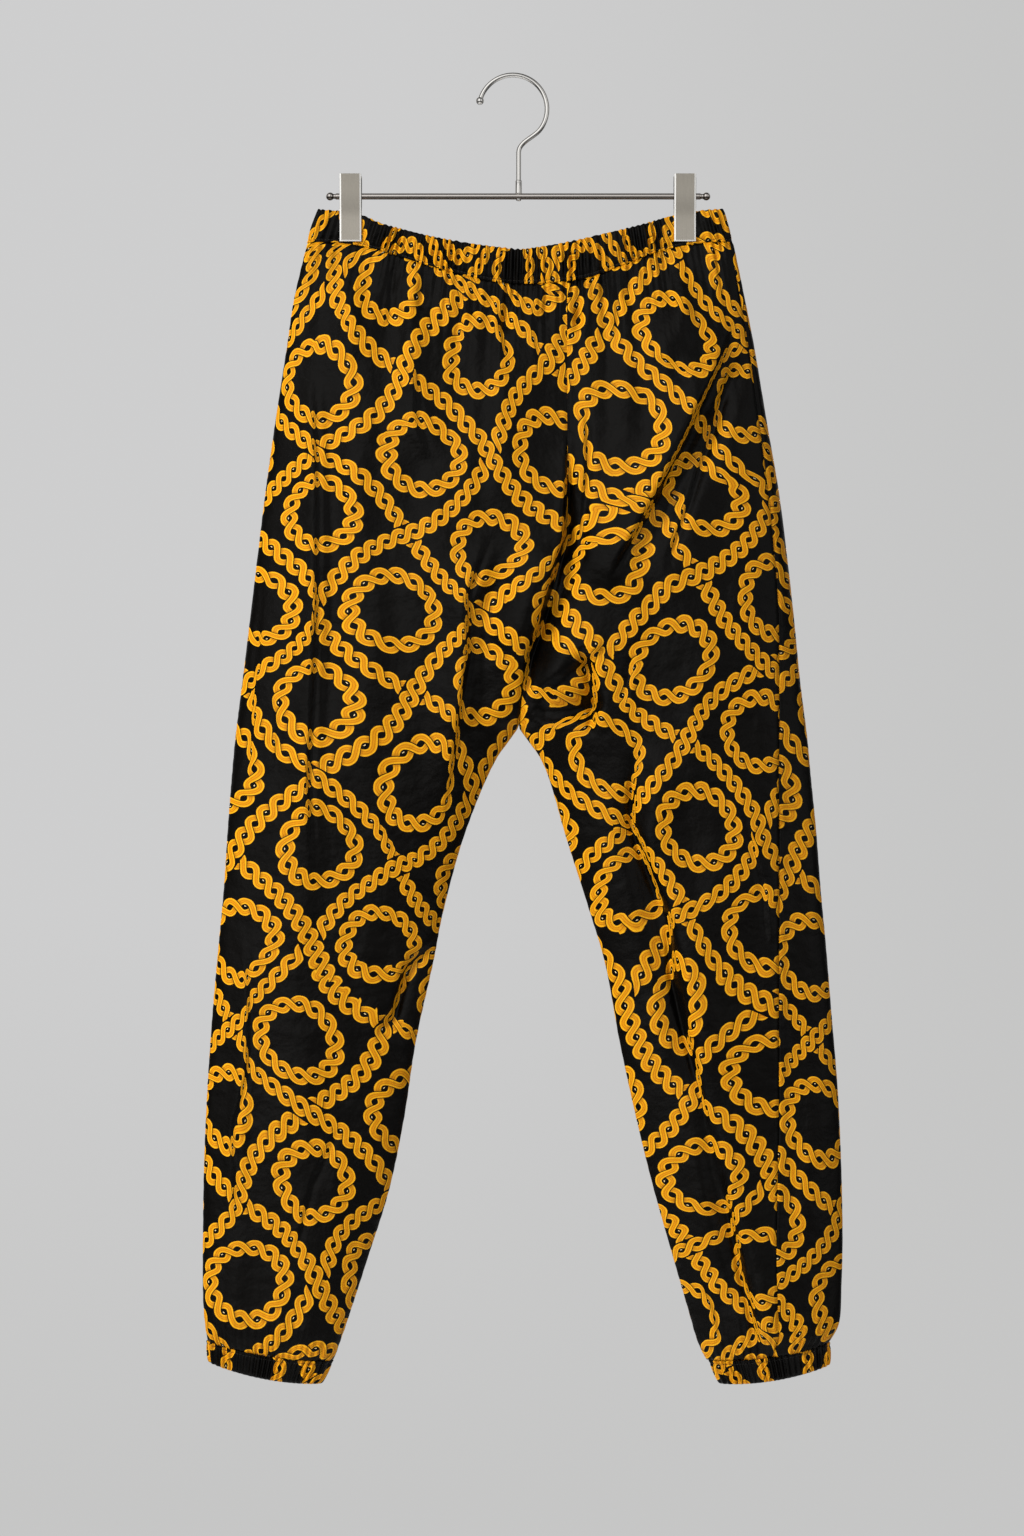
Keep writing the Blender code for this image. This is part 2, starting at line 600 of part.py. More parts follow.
def clip_spring(name, centre_x, finish):
    """The coil between a clip's plates, as a plain sleeve round the bar."""
    half = SPRING_LENGTH / 2
    bore_radius = BAR_RADIUS + FIT_GAP
    profile = ((-half, bore_radius), (-half, SPRING_RADIUS), (half, SPRING_RADIUS), (half, bore_radius))
    sides = 20
    solid = bmesh.new()
    rings = []
    for step in range(sides):
        angle = 2.0 * math.pi * step / sides
        ring = []
        for along, radius in profile:
            place = (centre_x + along, radius * math.cos(angle), BAR_HEIGHT + radius * math.sin(angle))
            ring.append(solid.verts.new(np.array(place) * METRES))
        rings.append(ring)
    for step in range(sides):
        here = rings[step]
        after = rings[(step + 1) % sides]
        for corner in range(len(profile)):
            follow = (corner + 1) % len(profile)
            solid.faces.new((here[corner], here[follow], after[follow], after[corner]))
    mesh_object(name, solid, finish)


def clips(plate_finish, spring_finish):
    for side, centre_x in CLIP_CENTRES.items():
        clip_plate("clip_" + side + "_front", centre_x, FRONT, plate_finish)
        clip_plate("clip_" + side + "_back", centre_x, BACK, plate_finish)
        clip_spring("clip_" + side + "_spring", centre_x, spring_finish)


def build():
    clear_scene()
    cloth = material("cloth", (0.010, 0.009, 0.008), 0.62, 0.0)
    plate = material("clip_plate", (0.50, 0.47, 0.43), 0.34, 1.0)
    wire = material("hanger_wire", (0.58, 0.56, 0.53), 0.26, 1.0)
    spring = material("clip_spring", (0.42, 0.41, 0.40), 0.35, 1.0)
    leg_panels(cloth)
    waistband(cloth)
    cuffs(cloth)
    hanger_bar(wire)
    hanger_hook(wire)
    hanger_joint(wire)
    clips(plate, spring)


build()
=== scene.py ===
"""Joggers in black cloth with a gold braid print, hanging from a two-clip metal hanger.

All sizes are in millimetres until a mesh is placed. +Z is up, the front faces -Y, and the hook's crown bears
at the origin. Left and right are as seen from the front.
"""

import math

import bmesh
import bpy
import numpy as np
from mathutils import Matrix, Vector


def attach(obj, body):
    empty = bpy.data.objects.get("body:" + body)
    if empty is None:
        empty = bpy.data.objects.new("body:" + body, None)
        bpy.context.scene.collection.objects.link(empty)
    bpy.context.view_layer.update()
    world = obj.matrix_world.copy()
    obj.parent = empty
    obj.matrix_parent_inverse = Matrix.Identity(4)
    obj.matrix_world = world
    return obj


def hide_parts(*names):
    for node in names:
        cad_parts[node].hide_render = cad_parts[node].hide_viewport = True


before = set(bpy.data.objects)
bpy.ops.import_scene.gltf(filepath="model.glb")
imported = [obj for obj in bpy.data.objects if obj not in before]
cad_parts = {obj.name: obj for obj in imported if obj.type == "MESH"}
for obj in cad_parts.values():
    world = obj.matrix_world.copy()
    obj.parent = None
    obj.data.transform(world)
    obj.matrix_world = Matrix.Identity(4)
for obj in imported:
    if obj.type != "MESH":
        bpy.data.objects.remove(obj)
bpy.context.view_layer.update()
METRES = 0.001

# The leg panels. Black cloth, smooth as satin and printed all over in gold, is cut as a front and a back for
# each leg. They are sewn together at the centre, the sides and the inseams, and hang gathered from the
# waistband. The right back panel reaches round on to the front, so its side seam shows there.
FRONT = -1.0
BACK = 1.0
# Each level of the garment: left x, left z, right x, right z, half depth, the right side seam's place.
LEFT_X, LEFT_Z, RIGHT_X, RIGHT_Z, HALF_DEPTH, SEAM_PLACE = np.array((
    (-180.5, -145, 191, -145, 14, 3), (-192, -193.5, 201, -193.5, 18, 4), (-198.5, -237, 209.5, -237, 22, 5),
    (-208.5, -302.5, 220.5, -302.5, 26, 7), (-217.5, -367.5, 231.5, -367.5, 28, 10),
    (-228, -454.5, 242, -454.5, 29, 13), (-236.5, -524.5, 249, -524.5, 28, 19),
    (-242.5, -572, 255, -572, 27, 25), (-246, -609.5, 258.5, -609.5, 26, 29),
    (-249.5, -655, 263, -655, 25, 33), (-253, -707, 267, -707, 24, 37), (-257.5, -755, 271.5, -755, 23, 42),
    (-262.5, -811.5, 276.5, -816, 22, 47), (-267, -876.5, 281.5, -876.5, 21, 52),
    (-270, -942, 284.5, -937.5, 20, 56), (-271, -1003, 286, -1003, 19, 59), (-271, -1055, 285, -1052, 18, 57),
    (-269.5, -1081, 283, -1083, 18, 54), (-267, -1099, 274, -1101, 14, 50),
)).T
OUTER_EDGES = {"left": (LEFT_X, LEFT_Z), "right": (RIGHT_X, RIGHT_Z)}
LAST = len(LEFT_X) - 1
CROTCH = 7
CENTRE_SEAM = np.array((
    (46, -179), (46, -224), (46, -280.5), (46, -341.5), (44.5, -398), (31.5, -452), (11.5, -507), (4, -565.5),
)).T
# The inseams from the crotch down: left x, left z, right x, right z.
inseams = np.array((
    (4, -565.5, 4, -565.5), (-19, -601, 26.5, -601), (-43.5, -662, 45, -662), (-61, -726, 63.5, -720),
    (-69.5, -769.5, 79, -772.5), (-84.5, -837.5, 91, -837.5), (-95, -905.5, 104.5, -900),
    (-108, -968, 120, -963.5), (-126, -1025.5, 137.5, -1025.5), (-143.5, -1079.5, 151.5, -1074),
    (-150.5, -1099.5, 158.5, -1098), (-156, -1115.5, 166, -1115),
)).T
INSEAMS = {"left": inseams[:2], "right": inseams[2:]}
# The waistband's upper and lower edges: x, z.
TOP_X, TOP_Z = np.array((
    (-170.5, -115.5), (-151.5, -117), (-132, -120.5), (-116.5, -127), (-98.5, -132), (-79, -137),
    (-52, -142.5), (-10.5, -148.5), (5, -150), (22, -148), (53, -142.5), (76.5, -137), (97.5, -132),
    (116.5, -127), (135.5, -121.5), (162.5, -116.5), (182.5, -115),
)).T
FOOT_X, FOOT_Z = np.array((
    (-180, -144.5), (-160, -144), (-142.5, -145.5), (-121, -150), (-86, -161.5), (-52, -171.5),
    (-10.5, -180.5), (5, -181.5), (31.5, -180.5), (62, -176.5), (97.5, -163.5), (127, -152), (153, -146),
    (175, -144), (190.5, -144.5),
)).T
# The waist's half depth, down to what the two clips press it to: x, half depth.
CLIPPED = 3.0
PINCH_X, PINCH_DEPTH = np.array((
    (-180, 6), (-165, 5), (-154, 3), (-130, 3), (-110, 7), (-60, 12), (0, 14), (62, 12.5), (116, 7), (136, 3),
    (161, 3), (172, 5), (191, 6),
)).T
# The broad folds: how high each rises or how deep it sinks, its widths left and right, and its path.
FRONT_FOLDS = (
    (7, 24, 11, ((191, -213), (172, -254), (144, -320), (118, -367), (83, -430), (70, -455))),
    (-8, 10, 14, ((202, -235), (186, -272), (160, -322), (136, -366), (104, -425))),
    (-10, 5, 14, ((48, -330), (48, -402), (36, -452), (24, -484), (15, -512), (10, -560))),
    (6, 20, 12, ((30, -400), (14, -455), (-4, -510))),
    (5, 9, 26, ((120, -570), (124, -611), (116, -659), (140, -733), (160, -829), (172, -896))),
    (-7, 12, 9, ((108, -590), (102, -659), (126, -733), (144, -829), (158, -896))),
    (5, 9, 22, ((172, -880), (187, -963), (204, -1022), (216, -1072), (222, -1110))),
    (-6, 10, 8, ((160, -880), (175, -963), (192, -1022), (204, -1080))),
    (5, 16, 12, ((-19, -394), (-40, -454), (-45, -537), (-51, -587), (-64, -663))),
    (-5, 10, 14, ((-7, -420), (-26, -470), (-30, -540), (-36, -600))),
    (4, 14, 10, ((-176, -241), (-172, -320), (-171, -454), (-178, -620), (-175, -711))),
    (-4, 8, 14, ((-162, -250), (-158, -330), (-157, -454), (-163, -620))),
    (4, 12, 10, ((-228, -700), (-232, -855), (-240, -917), (-243, -1000))),
    (5, 9, 12, ((14, -530), (44, -510), (82, -490))),
    (-9, 7, 8, ((12, -548), (34, -552), (56, -549), (78, -540))),
    (-9, 15, 5, ((60, -492), (66, -520), (70, -545), (66, -575))),
    (4, 12, 12, ((-85, -190), (-85, -254), (-83, -302), (-70, -340))),
    (4, 14, 14, ((150, -150), (150, -193), (122, -262))),
    (4, 12, 12, ((-142, -150), (-146, -193), (-140, -262))),
    (-7, 5, 12, ((-60, -748), (-88, -768), (-98, -792), (-104, -814), (-122, -832))),
    (-4, 10, 18, ((238, -455), (238, -700), (240, -900), (240, -1080))),
    (-5, 4, 5, ((-78, -150), (-79, -176), (-80, -208))),
    (-6, 5, 4, ((-33, -160), (-34, -186), (-36, -214))),
    (-7, 4, 5, ((-6, -162), (-6, -192), (-9, -230))),
    (-5, 5, 4, ((28, -162), (27, -188), (26, -220))),
    (-6, 4, 5, ((59, -158), (58, -190), (54, -226))),
    (-5, 5, 4, ((98, -148), (99, -174), (97, -202))),
    (-4, 4, 4, ((-108, -144), (-106, -166), (-104, -190))),
)
BACK_FOLDS = (
    (-8, 12, 12, ((46, -330), (44, -402), (30, -455), (12, -504), (8, -560))),
    (6, 20, 12, ((-170, -200), (-146, -260), (-108, -340), (-70, -420), (-44, -470))),
    (-6, 11, 14, ((-152, -200), (-128, -262), (-90, -340), (-56, -410))),
    (5, 12, 18, ((150, -150), (156, -215), (136, -300), (104, -372))),
    (5, 14, 14, ((96, -400), (80, -470), (52, -520))),
    (5, 14, 18, ((-120, -560), (-132, -650), (-140, -740), (-158, -860))),
    (-5, 11, 11, ((-98, -575), (-112, -660), (-120, -745), (-138, -850))),
    (5, 16, 12, ((150, -560), (168, -680), (178, -800), (196, -900))),
    (-5, 10, 12, ((170, -600), (186, -690), (197, -800), (210, -880))),
    (4, 12, 14, ((-190, -840), (-200, -930), (-214, -1010), (-220, -1080))),
    (4, 14, 10, ((214, -880), (222, -960), (230, -1030), (232, -1090))),
    (-5, 10, 10, ((-20, -560), (-54, -552), (-88, -556))),
    (-6, 5, 4, ((-92, -146), (-90, -176), (-86, -212))),
    (-5, 4, 5, ((-24, -160), (-26, -190), (-27, -224))),
    (-6, 4, 4, ((66, -156), (64, -184), (66, -216))),
)
# The creases, where cloth laps over cloth: how far each drops from its left to its right, how wide it is on
# each of them, how much cloth it hides, and its path.
FRONT_CREASES = (
    (6, 14, 12, 18, ((46, -300), (45, -364), (44, -400), (32, -438), (23, -475), (12, -505), (6, -560))),
    (2, 10, 8, 9, ((61, -285), (62, -340), (58, -385), (56, -432))),
    (5, 18, 16, 20,
     ((193, -208), (178, -250), (160, -288), (142, -326), (122, -368), (92, -418), (78, -440))),
    (2.8, 9, 9, 10,
     ((190, -240), (180, -275), (170, -308), (159, -342), (148, -376), (136, -408), (128, -432))),
    (-5, 9, 22, 18,
     ((112, -566), (104, -612), (103, -646), (118, -690), (136, -733), (139, -782), (150, -829),
      (162, -876), (180, -964))),
    (-3.6, 8, 16, 16, ((180, -950), (196, -1022), (207, -1072), (215, -1108))),
    (3, 14, 9, 15,
     ((-19, -394), (-33, -430), (-40, -452), (-40, -507), (-45, -537), (-51, -587), (-64, -663))),
    (2.8, 14, 12, 14, ((-176, -242), (-172, -320), (-171, -372), (-171, -455), (-178, -614), (-173, -711))),
    (-1.6, 8, 10, 9, ((-214, -430), (-221, -498), (-226, -559), (-230, -620))),
    (2.2, 10, 9, 13, ((-234, -735), (-230, -803), (-231, -862), (-244, -912), (-241, -1010))),
    (5.6, 12, 10, 13, ((-58, -744), (-80, -761), (-95, -775), (-101, -798), (-105, -814), (-122, -832))),
    (1.6, 9, 7, 6, ((-85, -245), (-84, -302), (-73, -333))),
    (-2, 9, 9, 8, ((12, -541), (34, -527), (66, -505), (84, -490))),
    (4.4, 8, 8, 8, ((17, -557), (34, -562), (58, -556), (82, -545))),
    (-5, 12, 9, 11, ((60, -492), (67, -520), (71, -545), (67, -575))),
    (-1.6, 7, 7, 5, ((104, -506), (101, -523), (96, -548))),
    (1.3, 6, 8, 4, ((-164, -203), (-152, -207), (-142, -225))),
    (-1.3, 6, 8, 4, ((122, -245), (138, -252), (154, -266))),
    (1.5, 6, 8, 6, ((-16, -192), (-13, -222), (-6, -250))),
    (-1.4, 6, 6, 5, ((-46, -180), (-44, -205), (-48, -236))),
    (1.3, 6, 6, 5, ((18, -190), (16, -214), (20, -252))),
    (1.4, 7, 6, 5, ((84, -176), (88, -202), (86, -232))),
    (1.4, 6, 6, 5, ((-112, -166), (-108, -196), (-112, -222))),
    (1.2, 10, 10, 5, ((-120, -640), (-104, -668), (-80, -690))),
    (-1.4, 10, 10, 6, ((200, -640), (216, -700), (222, -760))),
    (1.4, 9, 9, 6, ((-150, -905), (-176, -960), (-190, -1020))),
    (1.3, 9, 9, 6, ((-214, -520), (-206, -560), (-208, -610))),
    (1.6, 8, 8, 8, ((252, -330), (244, -400), (250, -470))),
    (-1.8, 8, 8, 8, ((-118, -1030), (-128, -1062), (-150, -1090))),
    (1.6, 7, 8, 6, ((160, -1040), (172, -1070), (178, -1100))),
)
BACK_CREASES = (
    (4, 14, 12, 11, ((46, -300), (44, -364), (43, -400), (30, -445), (20, -480), (11, -510), (6, -560))),
    (-3.4, 16, 12, 11, ((-168, -196), (-146, -252), (-124, -300), (-96, -352), (-66, -416), (-50, -450))),
    (2.6, 12, 12, 8, ((152, -190), (148, -240), (134, -296), (112, -350))),
    (2.4, 14, 10, 8, ((-112, -580), (-124, -655), (-131, -742), (-148, -850))),
    (-2.4, 10, 14, 8, ((160, -584), (178, -684), (188, -800), (204, -890))),
    (2, 8, 9, 6, ((-14, -548), (-40, -532), (-74, -520))),
    (-1.8, 9, 9, 5, ((92, -396), (76, -462), (54, -510))),
    (1.6, 9, 9, 5, ((-196, -850), (-208, -940), (-218, -1020), (-224, -1070))),
    (-1.5, 9, 9, 5, ((218, -890), (226, -966), (232, -1034))),
    (1.4, 7, 7, 3, ((-62, -176), (-58, -205), (-62, -240))),
    (-1.4, 7, 7, 3, ((20, -188), (22, -214), (16, -246))),
    (1.3, 8, 8, 3, ((112, -168), (106, -205), (110, -236))),
    (1.3, 10, 10, 3, ((-190, -420), (-180, -486), (-186, -560))),
    (-1.2, 10, 10, 3, ((196, -380), (186, -450), (190, -520))),
)
# How deep the trough beside a crease is for its drop, and over what width the print jumps across it.
TROUGH = 0.7
SQUEEZE = 2.0
# How many gathers go round the waist and round an ankle, and how high they stand.
BAND_GATHERS = 136
GATHER_HEIGHT = 1.35
CUFF_GATHERS = 44
CUFF_GATHER_HEIGHT = 1.05
# How far a leg's end sags in its middle, how deep a seam draws in, how thick the cloth is, and how much
# longer it is cut than the waist that it is gathered to.
HEM_SAG = 4.0
SEAM_GROOVE = 0.9
SHELL = 0.5
BAND_FULLNESS = 1.32


def smooth_curve(values, at, knots=None):
    """A curve that passes smoothly through values at their knots, or at 0, 1, 2 and so on."""
    if knots is None:
        knots = np.arange(len(values), dtype=float)
    slopes = np.gradient(values, knots)
    first = np.clip(np.searchsorted(knots, at, side="right") - 1, 0, len(knots) - 2)
    step = knots[first + 1] - knots[first]
    share = (at - knots[first]) / step
    rest = 1.0 - share
    start = values[first] * (1 + 2 * share) * rest**2 + slopes[first] * step * share * rest**2
    end = values[first + 1] * (3 - 2 * share) * share**2 - slopes[first + 1] * step * rest * share**2
    return start + end


def part_way(start, end, share):
    return start + (end - start) * share


def fade(value):
    value = np.clip(value, 0.0, 1.0)
    return value * value * (3.0 - 2.0 * value)


def rounding(share):
    share = np.clip(share, 0.0, 1.0)
    return np.sqrt(1.0 - (1.0 - share) ** 2)


def bell(away, width):
    return np.exp(-((away / width) ** 2))


def ripple(turn, *waves):
    """Waves round a loop, added up: how high each one is, how many times it goes round, and its start."""
    return sum(height * np.sin(count * turn + start) for height, count, start in waves)


def run_along(points, axis=0):
    """How far along its line each point lies."""
    steps = np.linalg.norm(np.diff(points, axis=axis), axis=-1)
    return np.insert(np.cumsum(steps, axis=axis), 0, 0.0, axis=axis)


def outward_from(tangent):
    """The level direction out of the cloth, from the direction round it."""
    outward = np.stack((tangent[..., 1], -tangent[..., 0], 0.0 * tangent[..., 2]), axis=-1)
    return outward / (np.linalg.norm(outward, axis=-1, keepdims=True) + 1e-9)


def width_share(turn):
    """The share of the width from the silhouette inwards, with its steps closer near the edges."""
    return 0.35 * (1.0 - np.cos(np.pi * turn)) + 0.3 * turn


def inner_edge(side, level):
    """The centre seam above the crotch, or the leg's inseam below it, as x and z."""
    above = np.minimum(level, CROTCH)
    below = np.maximum(level - CROTCH, 0.0)
    return [np.where(level <= CROTCH, smooth_curve(seam, above), smooth_curve(inseam, below))
            for seam, inseam in zip(CENTRE_SEAM, INSEAMS[side])]


def along_path(path, x, z):
    """For each place: how far it lies from a fold's path, to its right if positive, how far down it, and the
    direction to the path's right."""
    path = np.array(path, float)
    steps = np.diff(path, axis=0)
    nearest = np.full(x.shape, 1e9)
    signed = np.zeros(x.shape)
    run = np.zeros(x.shape)
    right = np.zeros(x.shape + (2,))
    for number, (start, step) in enumerate(zip(path, steps)):
        along = np.clip(((x - start[0]) * step[0] + (z - start[1]) * step[1]) / (step @ step), 0.0, 1.0)
        away_x = x - start[0] - step[0] * along
        away_z = z - start[1] - step[1] * along
        distance = np.hypot(away_x, away_z)
        closer = distance < nearest
        nearest = np.where(closer, distance, nearest)
        turned = step[0] * away_z - step[1] * away_x
        signed = np.where(closer, np.where(turned > 0, distance, -distance), signed)
        run = np.where(closer, (number + along) / len(steps), run)
        right[closer] = np.array((-step[1], step[0])) / np.linalg.norm(step)
    return signed, run, right


def fold_heights(folds, creases, x, z):
    """How far folds and creases lift the cloth, and how far the creases shift the print."""
    lift = np.zeros(x.shape)
    shift = np.zeros(x.shape + (2,))
    for rise, left, right, path in folds:
        away, run = along_path(path, x, z)[:2]
        ends = fade(run / 0.25) * fade((1.0 - run) / 0.25)
        lift += rise * ends * bell(away, np.where(away > 0, right, left))
    for drop, left, right, hidden, path in creases:
        away, run, across = along_path(path, x, z)
        ends = fade(run / 0.2) * fade((1.0 - run) / 0.2)
        lap = np.tanh(away / 1.5) * np.exp(-np.abs(away) / np.where(away > 0, right, left))
        lift -= ends * (0.5 * drop * lap + TROUGH * abs(drop) * bell(np.sign(drop) * away - 3.0, 3.0))
        reach = 0.5 * hidden * ends * np.tanh(away / SQUEEZE) * bell(away, 75.0)
        shift += across * reach[..., None]
    return lift, shift


def pinched_half_depth(x, left_end, right_end):
    ends = rounding((x - left_end) / 10.0) * rounding((right_end - x) / 10.0)
    return np.interp(x, PINCH_X, PINCH_DEPTH) * ends


def looseness(half_depth):
    """0 where a clip presses the cloth flat, 1 where it is free."""
    return fade((half_depth - CLIPPED) / CLIPPED)


def flat_loop(angle):
    """A place on a flat loop: how far across it lies, and on which face."""
    return 0.5 - 0.5 * np.cos(angle), np.where(angle <= np.pi, FRONT, BACK)


def way_round(share, face):
    """How far round a flat loop a place lies, from how far across it is."""
    return np.where(face == FRONT, 0.5 * share, 1.0 - 0.5 * share)


def loop_table(left, right, half_depth, steps):
    """Angles round a flat loop between two ends, and the share of its length up to each of them."""
    angles = np.linspace(0.0, 2.0 * np.pi, steps + 1)
    share, face = flat_loop(angles)
    x = part_way(left, right, share)
    run = run_along(np.stack((x, face * half_depth(x, left, right)), axis=-1))
    return angles, run / run[-1]


WAIST_ANGLES, WAIST_RUN = loop_table(FOOT_X[0], FOOT_X[-1], pinched_half_depth, 1600)


def waist_gathers(run, below):
    """The gathers' height at a share of the way round the waist, and so far below the band. They are uneven,
    run out below the band and leave a few long soft flutes."""
    turn = 2.0 * np.pi * run
    phase = BAND_GATHERS * turn + ripple(turn, (3.4, 7, 1.1), (0.8, 19, 0.4), (0.5, 31, 0.0))
    height = GATHER_HEIGHT * np.clip(0.8 + ripple(turn, (0.3, 13, 0.7), (0.25, 29, 2.0)), 0.3, 1.4)
    length = 19.0 + ripple(turn, (9.0, 17, 2.0), (6.0, 41, 0.0))
    flutes = np.sin(26 * turn + 1.5 * np.sin(5 * turn)) * (0.6 + 0.4 * np.sin(9 * turn + 1.0))
    fine = height * np.cos(phase) * np.exp(-below / length)
    medium = 1.2 * np.sin(57 * turn + 2.2 * np.sin(6 * turn)) * np.exp(-below / 34.0)
    return (fine + medium * (1.0 - np.exp(-below / 10.0))
            + 2.1 * flutes * np.exp(-below / 95.0) * (1.0 - np.exp(-below / 18.0)))


def cuff_gathers(run, above):
    """The same round an ankle, so far above its casing."""
    turn = 2.0 * np.pi * run
    phase = CUFF_GATHERS * turn + ripple(turn, (1.4, 3, 0.6), (0.6, 8, 0.0))
    height = CUFF_GATHER_HEIGHT * (0.9 + 0.3 * np.sin(5 * turn + 0.3))
    flutes = np.sin(9 * turn + 1.1 * np.sin(2 * turn)) * (0.7 + 0.3 * np.sin(4 * turn))
    fine = height * np.cos(phase) * np.exp(-above / 15.0)
    return fine + 1.7 * flutes * np.exp(-above / 42.0) * (1.0 - np.exp(-above / 9.0))


def hem_sag(share):
    """How far a leg's end sags, from how far across it a place lies."""
    return HEM_SAG * 4.0 * share * (1.0 - share)


def leg_surface(side, level, turn):
    """The cloth's outer face, and the creases' shift of the print. turn is FRONT at the front's inner edge, 0
    at the silhouette and BACK at the back's inner edge."""
    edge_x, edge_z = OUTER_EDGES[side]
    outer_x, outer_z = smooth_curve(edge_x, level), smooth_curve(edge_z, level)
    inner_x, inner_z = inner_edge(side, level)
    face = np.where(turn > 0, BACK, FRONT)
    share = width_share(np.abs(turn))
    x = part_way(outer_x, inner_x, share)
    top_x = part_way(edge_x[0], CENTRE_SEAM[0, 0], share)
    foot_z = smooth_curve(FOOT_Z, top_x, FOOT_X)
    sag = foot_z - part_way(edge_z[0], CENTRE_SEAM[1, 0], share)
    z = part_way(outer_z, inner_z, share) + sag * (1.0 - fade(level / 4.0))
    z = z - hem_sag(share) * fade(1.0 - (LAST - level) / 2.0)
    joined = rounding((CROTCH - level) / 2.6)
    round_inner = part_way(joined, 1.0, rounding(2.0 * (1.0 - share)))
    roundness = rounding(2.0 * share) * round_inner
    body = smooth_curve(HALF_DEPTH, level) * roundness
    band = pinched_half_depth(x, smooth_curve(LEFT_X, level), smooth_curve(RIGHT_X, level))
    lift = np.zeros(x.shape)
    shift = np.zeros(x.shape + (2,))
    for which, folds, creases in ((FRONT, FRONT_FOLDS, FRONT_CREASES), (BACK, BACK_FOLDS, BACK_CREASES)):
        here = face == which
        lift[here], shift[here] = fold_heights(folds, creases, x[here], z[here])
    angle = np.arccos(1.0 - 2.0 * np.clip((top_x - FOOT_X[0]) / (FOOT_X[-1] - FOOT_X[0]), 0.0, 1.0))
    place = np.interp(np.where(face == FRONT, angle, 2.0 * np.pi - angle), WAIST_ANGLES, WAIST_RUN)
    below = foot_z - z
    loose = np.maximum(looseness(pinched_half_depth(top_x, FOOT_X[0], FOOT_X[-1])), fade(below / 60.0))
    gathers = waist_gathers(place, np.maximum(below, 0.0)) * (0.3 + 0.7 * loose)
    cuff_run = way_round(share, face) + (0.13 if side == "right" else 0.0)
    hem = part_way(outer_z[-1], inner_z[-1], share) - hem_sag(share)
    gathers = gathers + cuff_gathers(cuff_run, np.maximum(z - hem, 0.0)) * fade((level - 13.0) / 2.0)
    drape = (1.5 * np.sin(x / 21.0 + 0.7 * np.sin(z / 90.0) + face) * np.sin(z / 130.0 + 0.8)
             + 1.0 * np.sin(x / 13.0 - z / 75.0 + 2.0 * face) * np.sin(z / 58.0 + x / 90.0)
             + 0.4 * np.sin(x / 6.0 + z / 41.0 + 1.3 * np.sin(z / 33.0)) * np.sin(z / 47.0 - x / 31.0 + face))
    depth = part_way(band, body, fade(level / 1.7))
    depth = depth + (lift * fade(level) + drape * fade(level / 2.0)) * roundness
    depth = depth + gathers * np.minimum(1.0, 1.6 * rounding(2.0 * share)) * round_inner
    return np.stack((x, face * depth, z), axis=-1), shift


def side_seam_turn(level):
    """Where the right side seam runs on the front of the leg."""
    width = smooth_curve(RIGHT_X, level) - inner_edge("right", level)[0]
    turns = np.linspace(0.0, 1.0, 401)
    return -np.interp(smooth_curve(SEAM_PLACE, level) / width, width_share(turns), turns)


def stand(name, shape, *finishes):
    """Makes an object of a shape, with its finishes."""
    mesh = bpy.data.meshes.new(name)
    shape.to_mesh(mesh)
    shape.free()
    for finish in finishes:
        mesh.materials.append(finish)
    piece = bpy.data.objects.new(name, mesh)
    bpy.context.collection.objects.link(piece)
    return piece


def fasten(piece, slot, *nodes):
    """Hangs a piece on the garment's body and hides the CAD nodes that it stands for. Its finish's slot,
    slot, is not used.
    """
    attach(piece, "root")
    if nodes:
        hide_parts(*nodes)
    return piece


def bent_sheet(name, columns, rows, place, *finishes, closed=False):
    """A flat grid bent to its hung form. place gives its points in millimetres and its print's coordinates
    from how far across and down it each point lies. If it is closed, the edges that meet are joined."""
    flat = bmesh.new()
    bmesh.ops.create_grid(flat, x_segments=columns, y_segments=rows, size=0.5)
    sheet = stand(name, flat, *finishes)
    mesh = sheet.data
    spots = np.empty(len(mesh.vertices) * 3)
    mesh.vertices.foreach_get("co", spots)
    column = np.rint((spots[0::3] + 0.5) * columns).astype(int)
    row = np.rint((0.5 - spots[1::3]) * rows).astype(int)
    points, cut = place(*np.meshgrid(np.linspace(0.0, 1.0, columns + 1), np.linspace(0.0, 1.0, rows + 1)))
    mesh.vertices.foreach_set("co", (points[row, column] * METRES).ravel())
    corners = np.empty(len(mesh.loops), int)
    mesh.loops.foreach_get("vertex_index", corners)
    mesh.uv_layers.new(name="cut")
    mesh.uv_layers["cut"].data.foreach_set("uv", (cut[row, column][corners] * METRES).ravel())
    if closed:
        ring = bmesh.new()
        ring.from_mesh(mesh)
        bmesh.ops.remove_doubles(ring, verts=ring.verts[:], dist=1e-6)
        ring.to_mesh(mesh)
        ring.free()
    mesh.shade_smooth()
    return sheet


class Value:
    """What a node puts out. Sums, products and comparisons of values add the maths nodes for them."""

    def __init__(self, socket):
        self.socket = socket
        self.tree = socket.id_data

    def clamped(self):
        self.socket.node.use_clamp = True
        return self

    def __add__(self, other):
        return maths("ADD", self, other)

    def __sub__(self, other):
        return maths("SUBTRACT", self, other)

    def __rsub__(self, other):
        return maths("SUBTRACT", other, self)

    def __mul__(self, other):
        return maths("MULTIPLY", self, other)

    def __truediv__(self, other):
        return maths("DIVIDE", self, other)

    def __rtruediv__(self, other):
        return maths("DIVIDE", other, self)

    def __lt__(self, other):
        return maths("LESS_THAN", self, other)

    def __gt__(self, other):
        return maths("GREATER_THAN", self, other)

    def __abs__(self):
        return maths("ABSOLUTE", self)


def feed(sockets, values):
    """Gives sockets their values, each a plain number, a colour or what a node puts out."""
    for label, value in values.items():
        socket = sockets[label]
        if isinstance(value, Value):
            value.tree.links.new(value.socket, socket)
        elif socket.type == "RGBA":
            socket.default_value = (*value, 1.0)
        else:
            socket.default_value = value


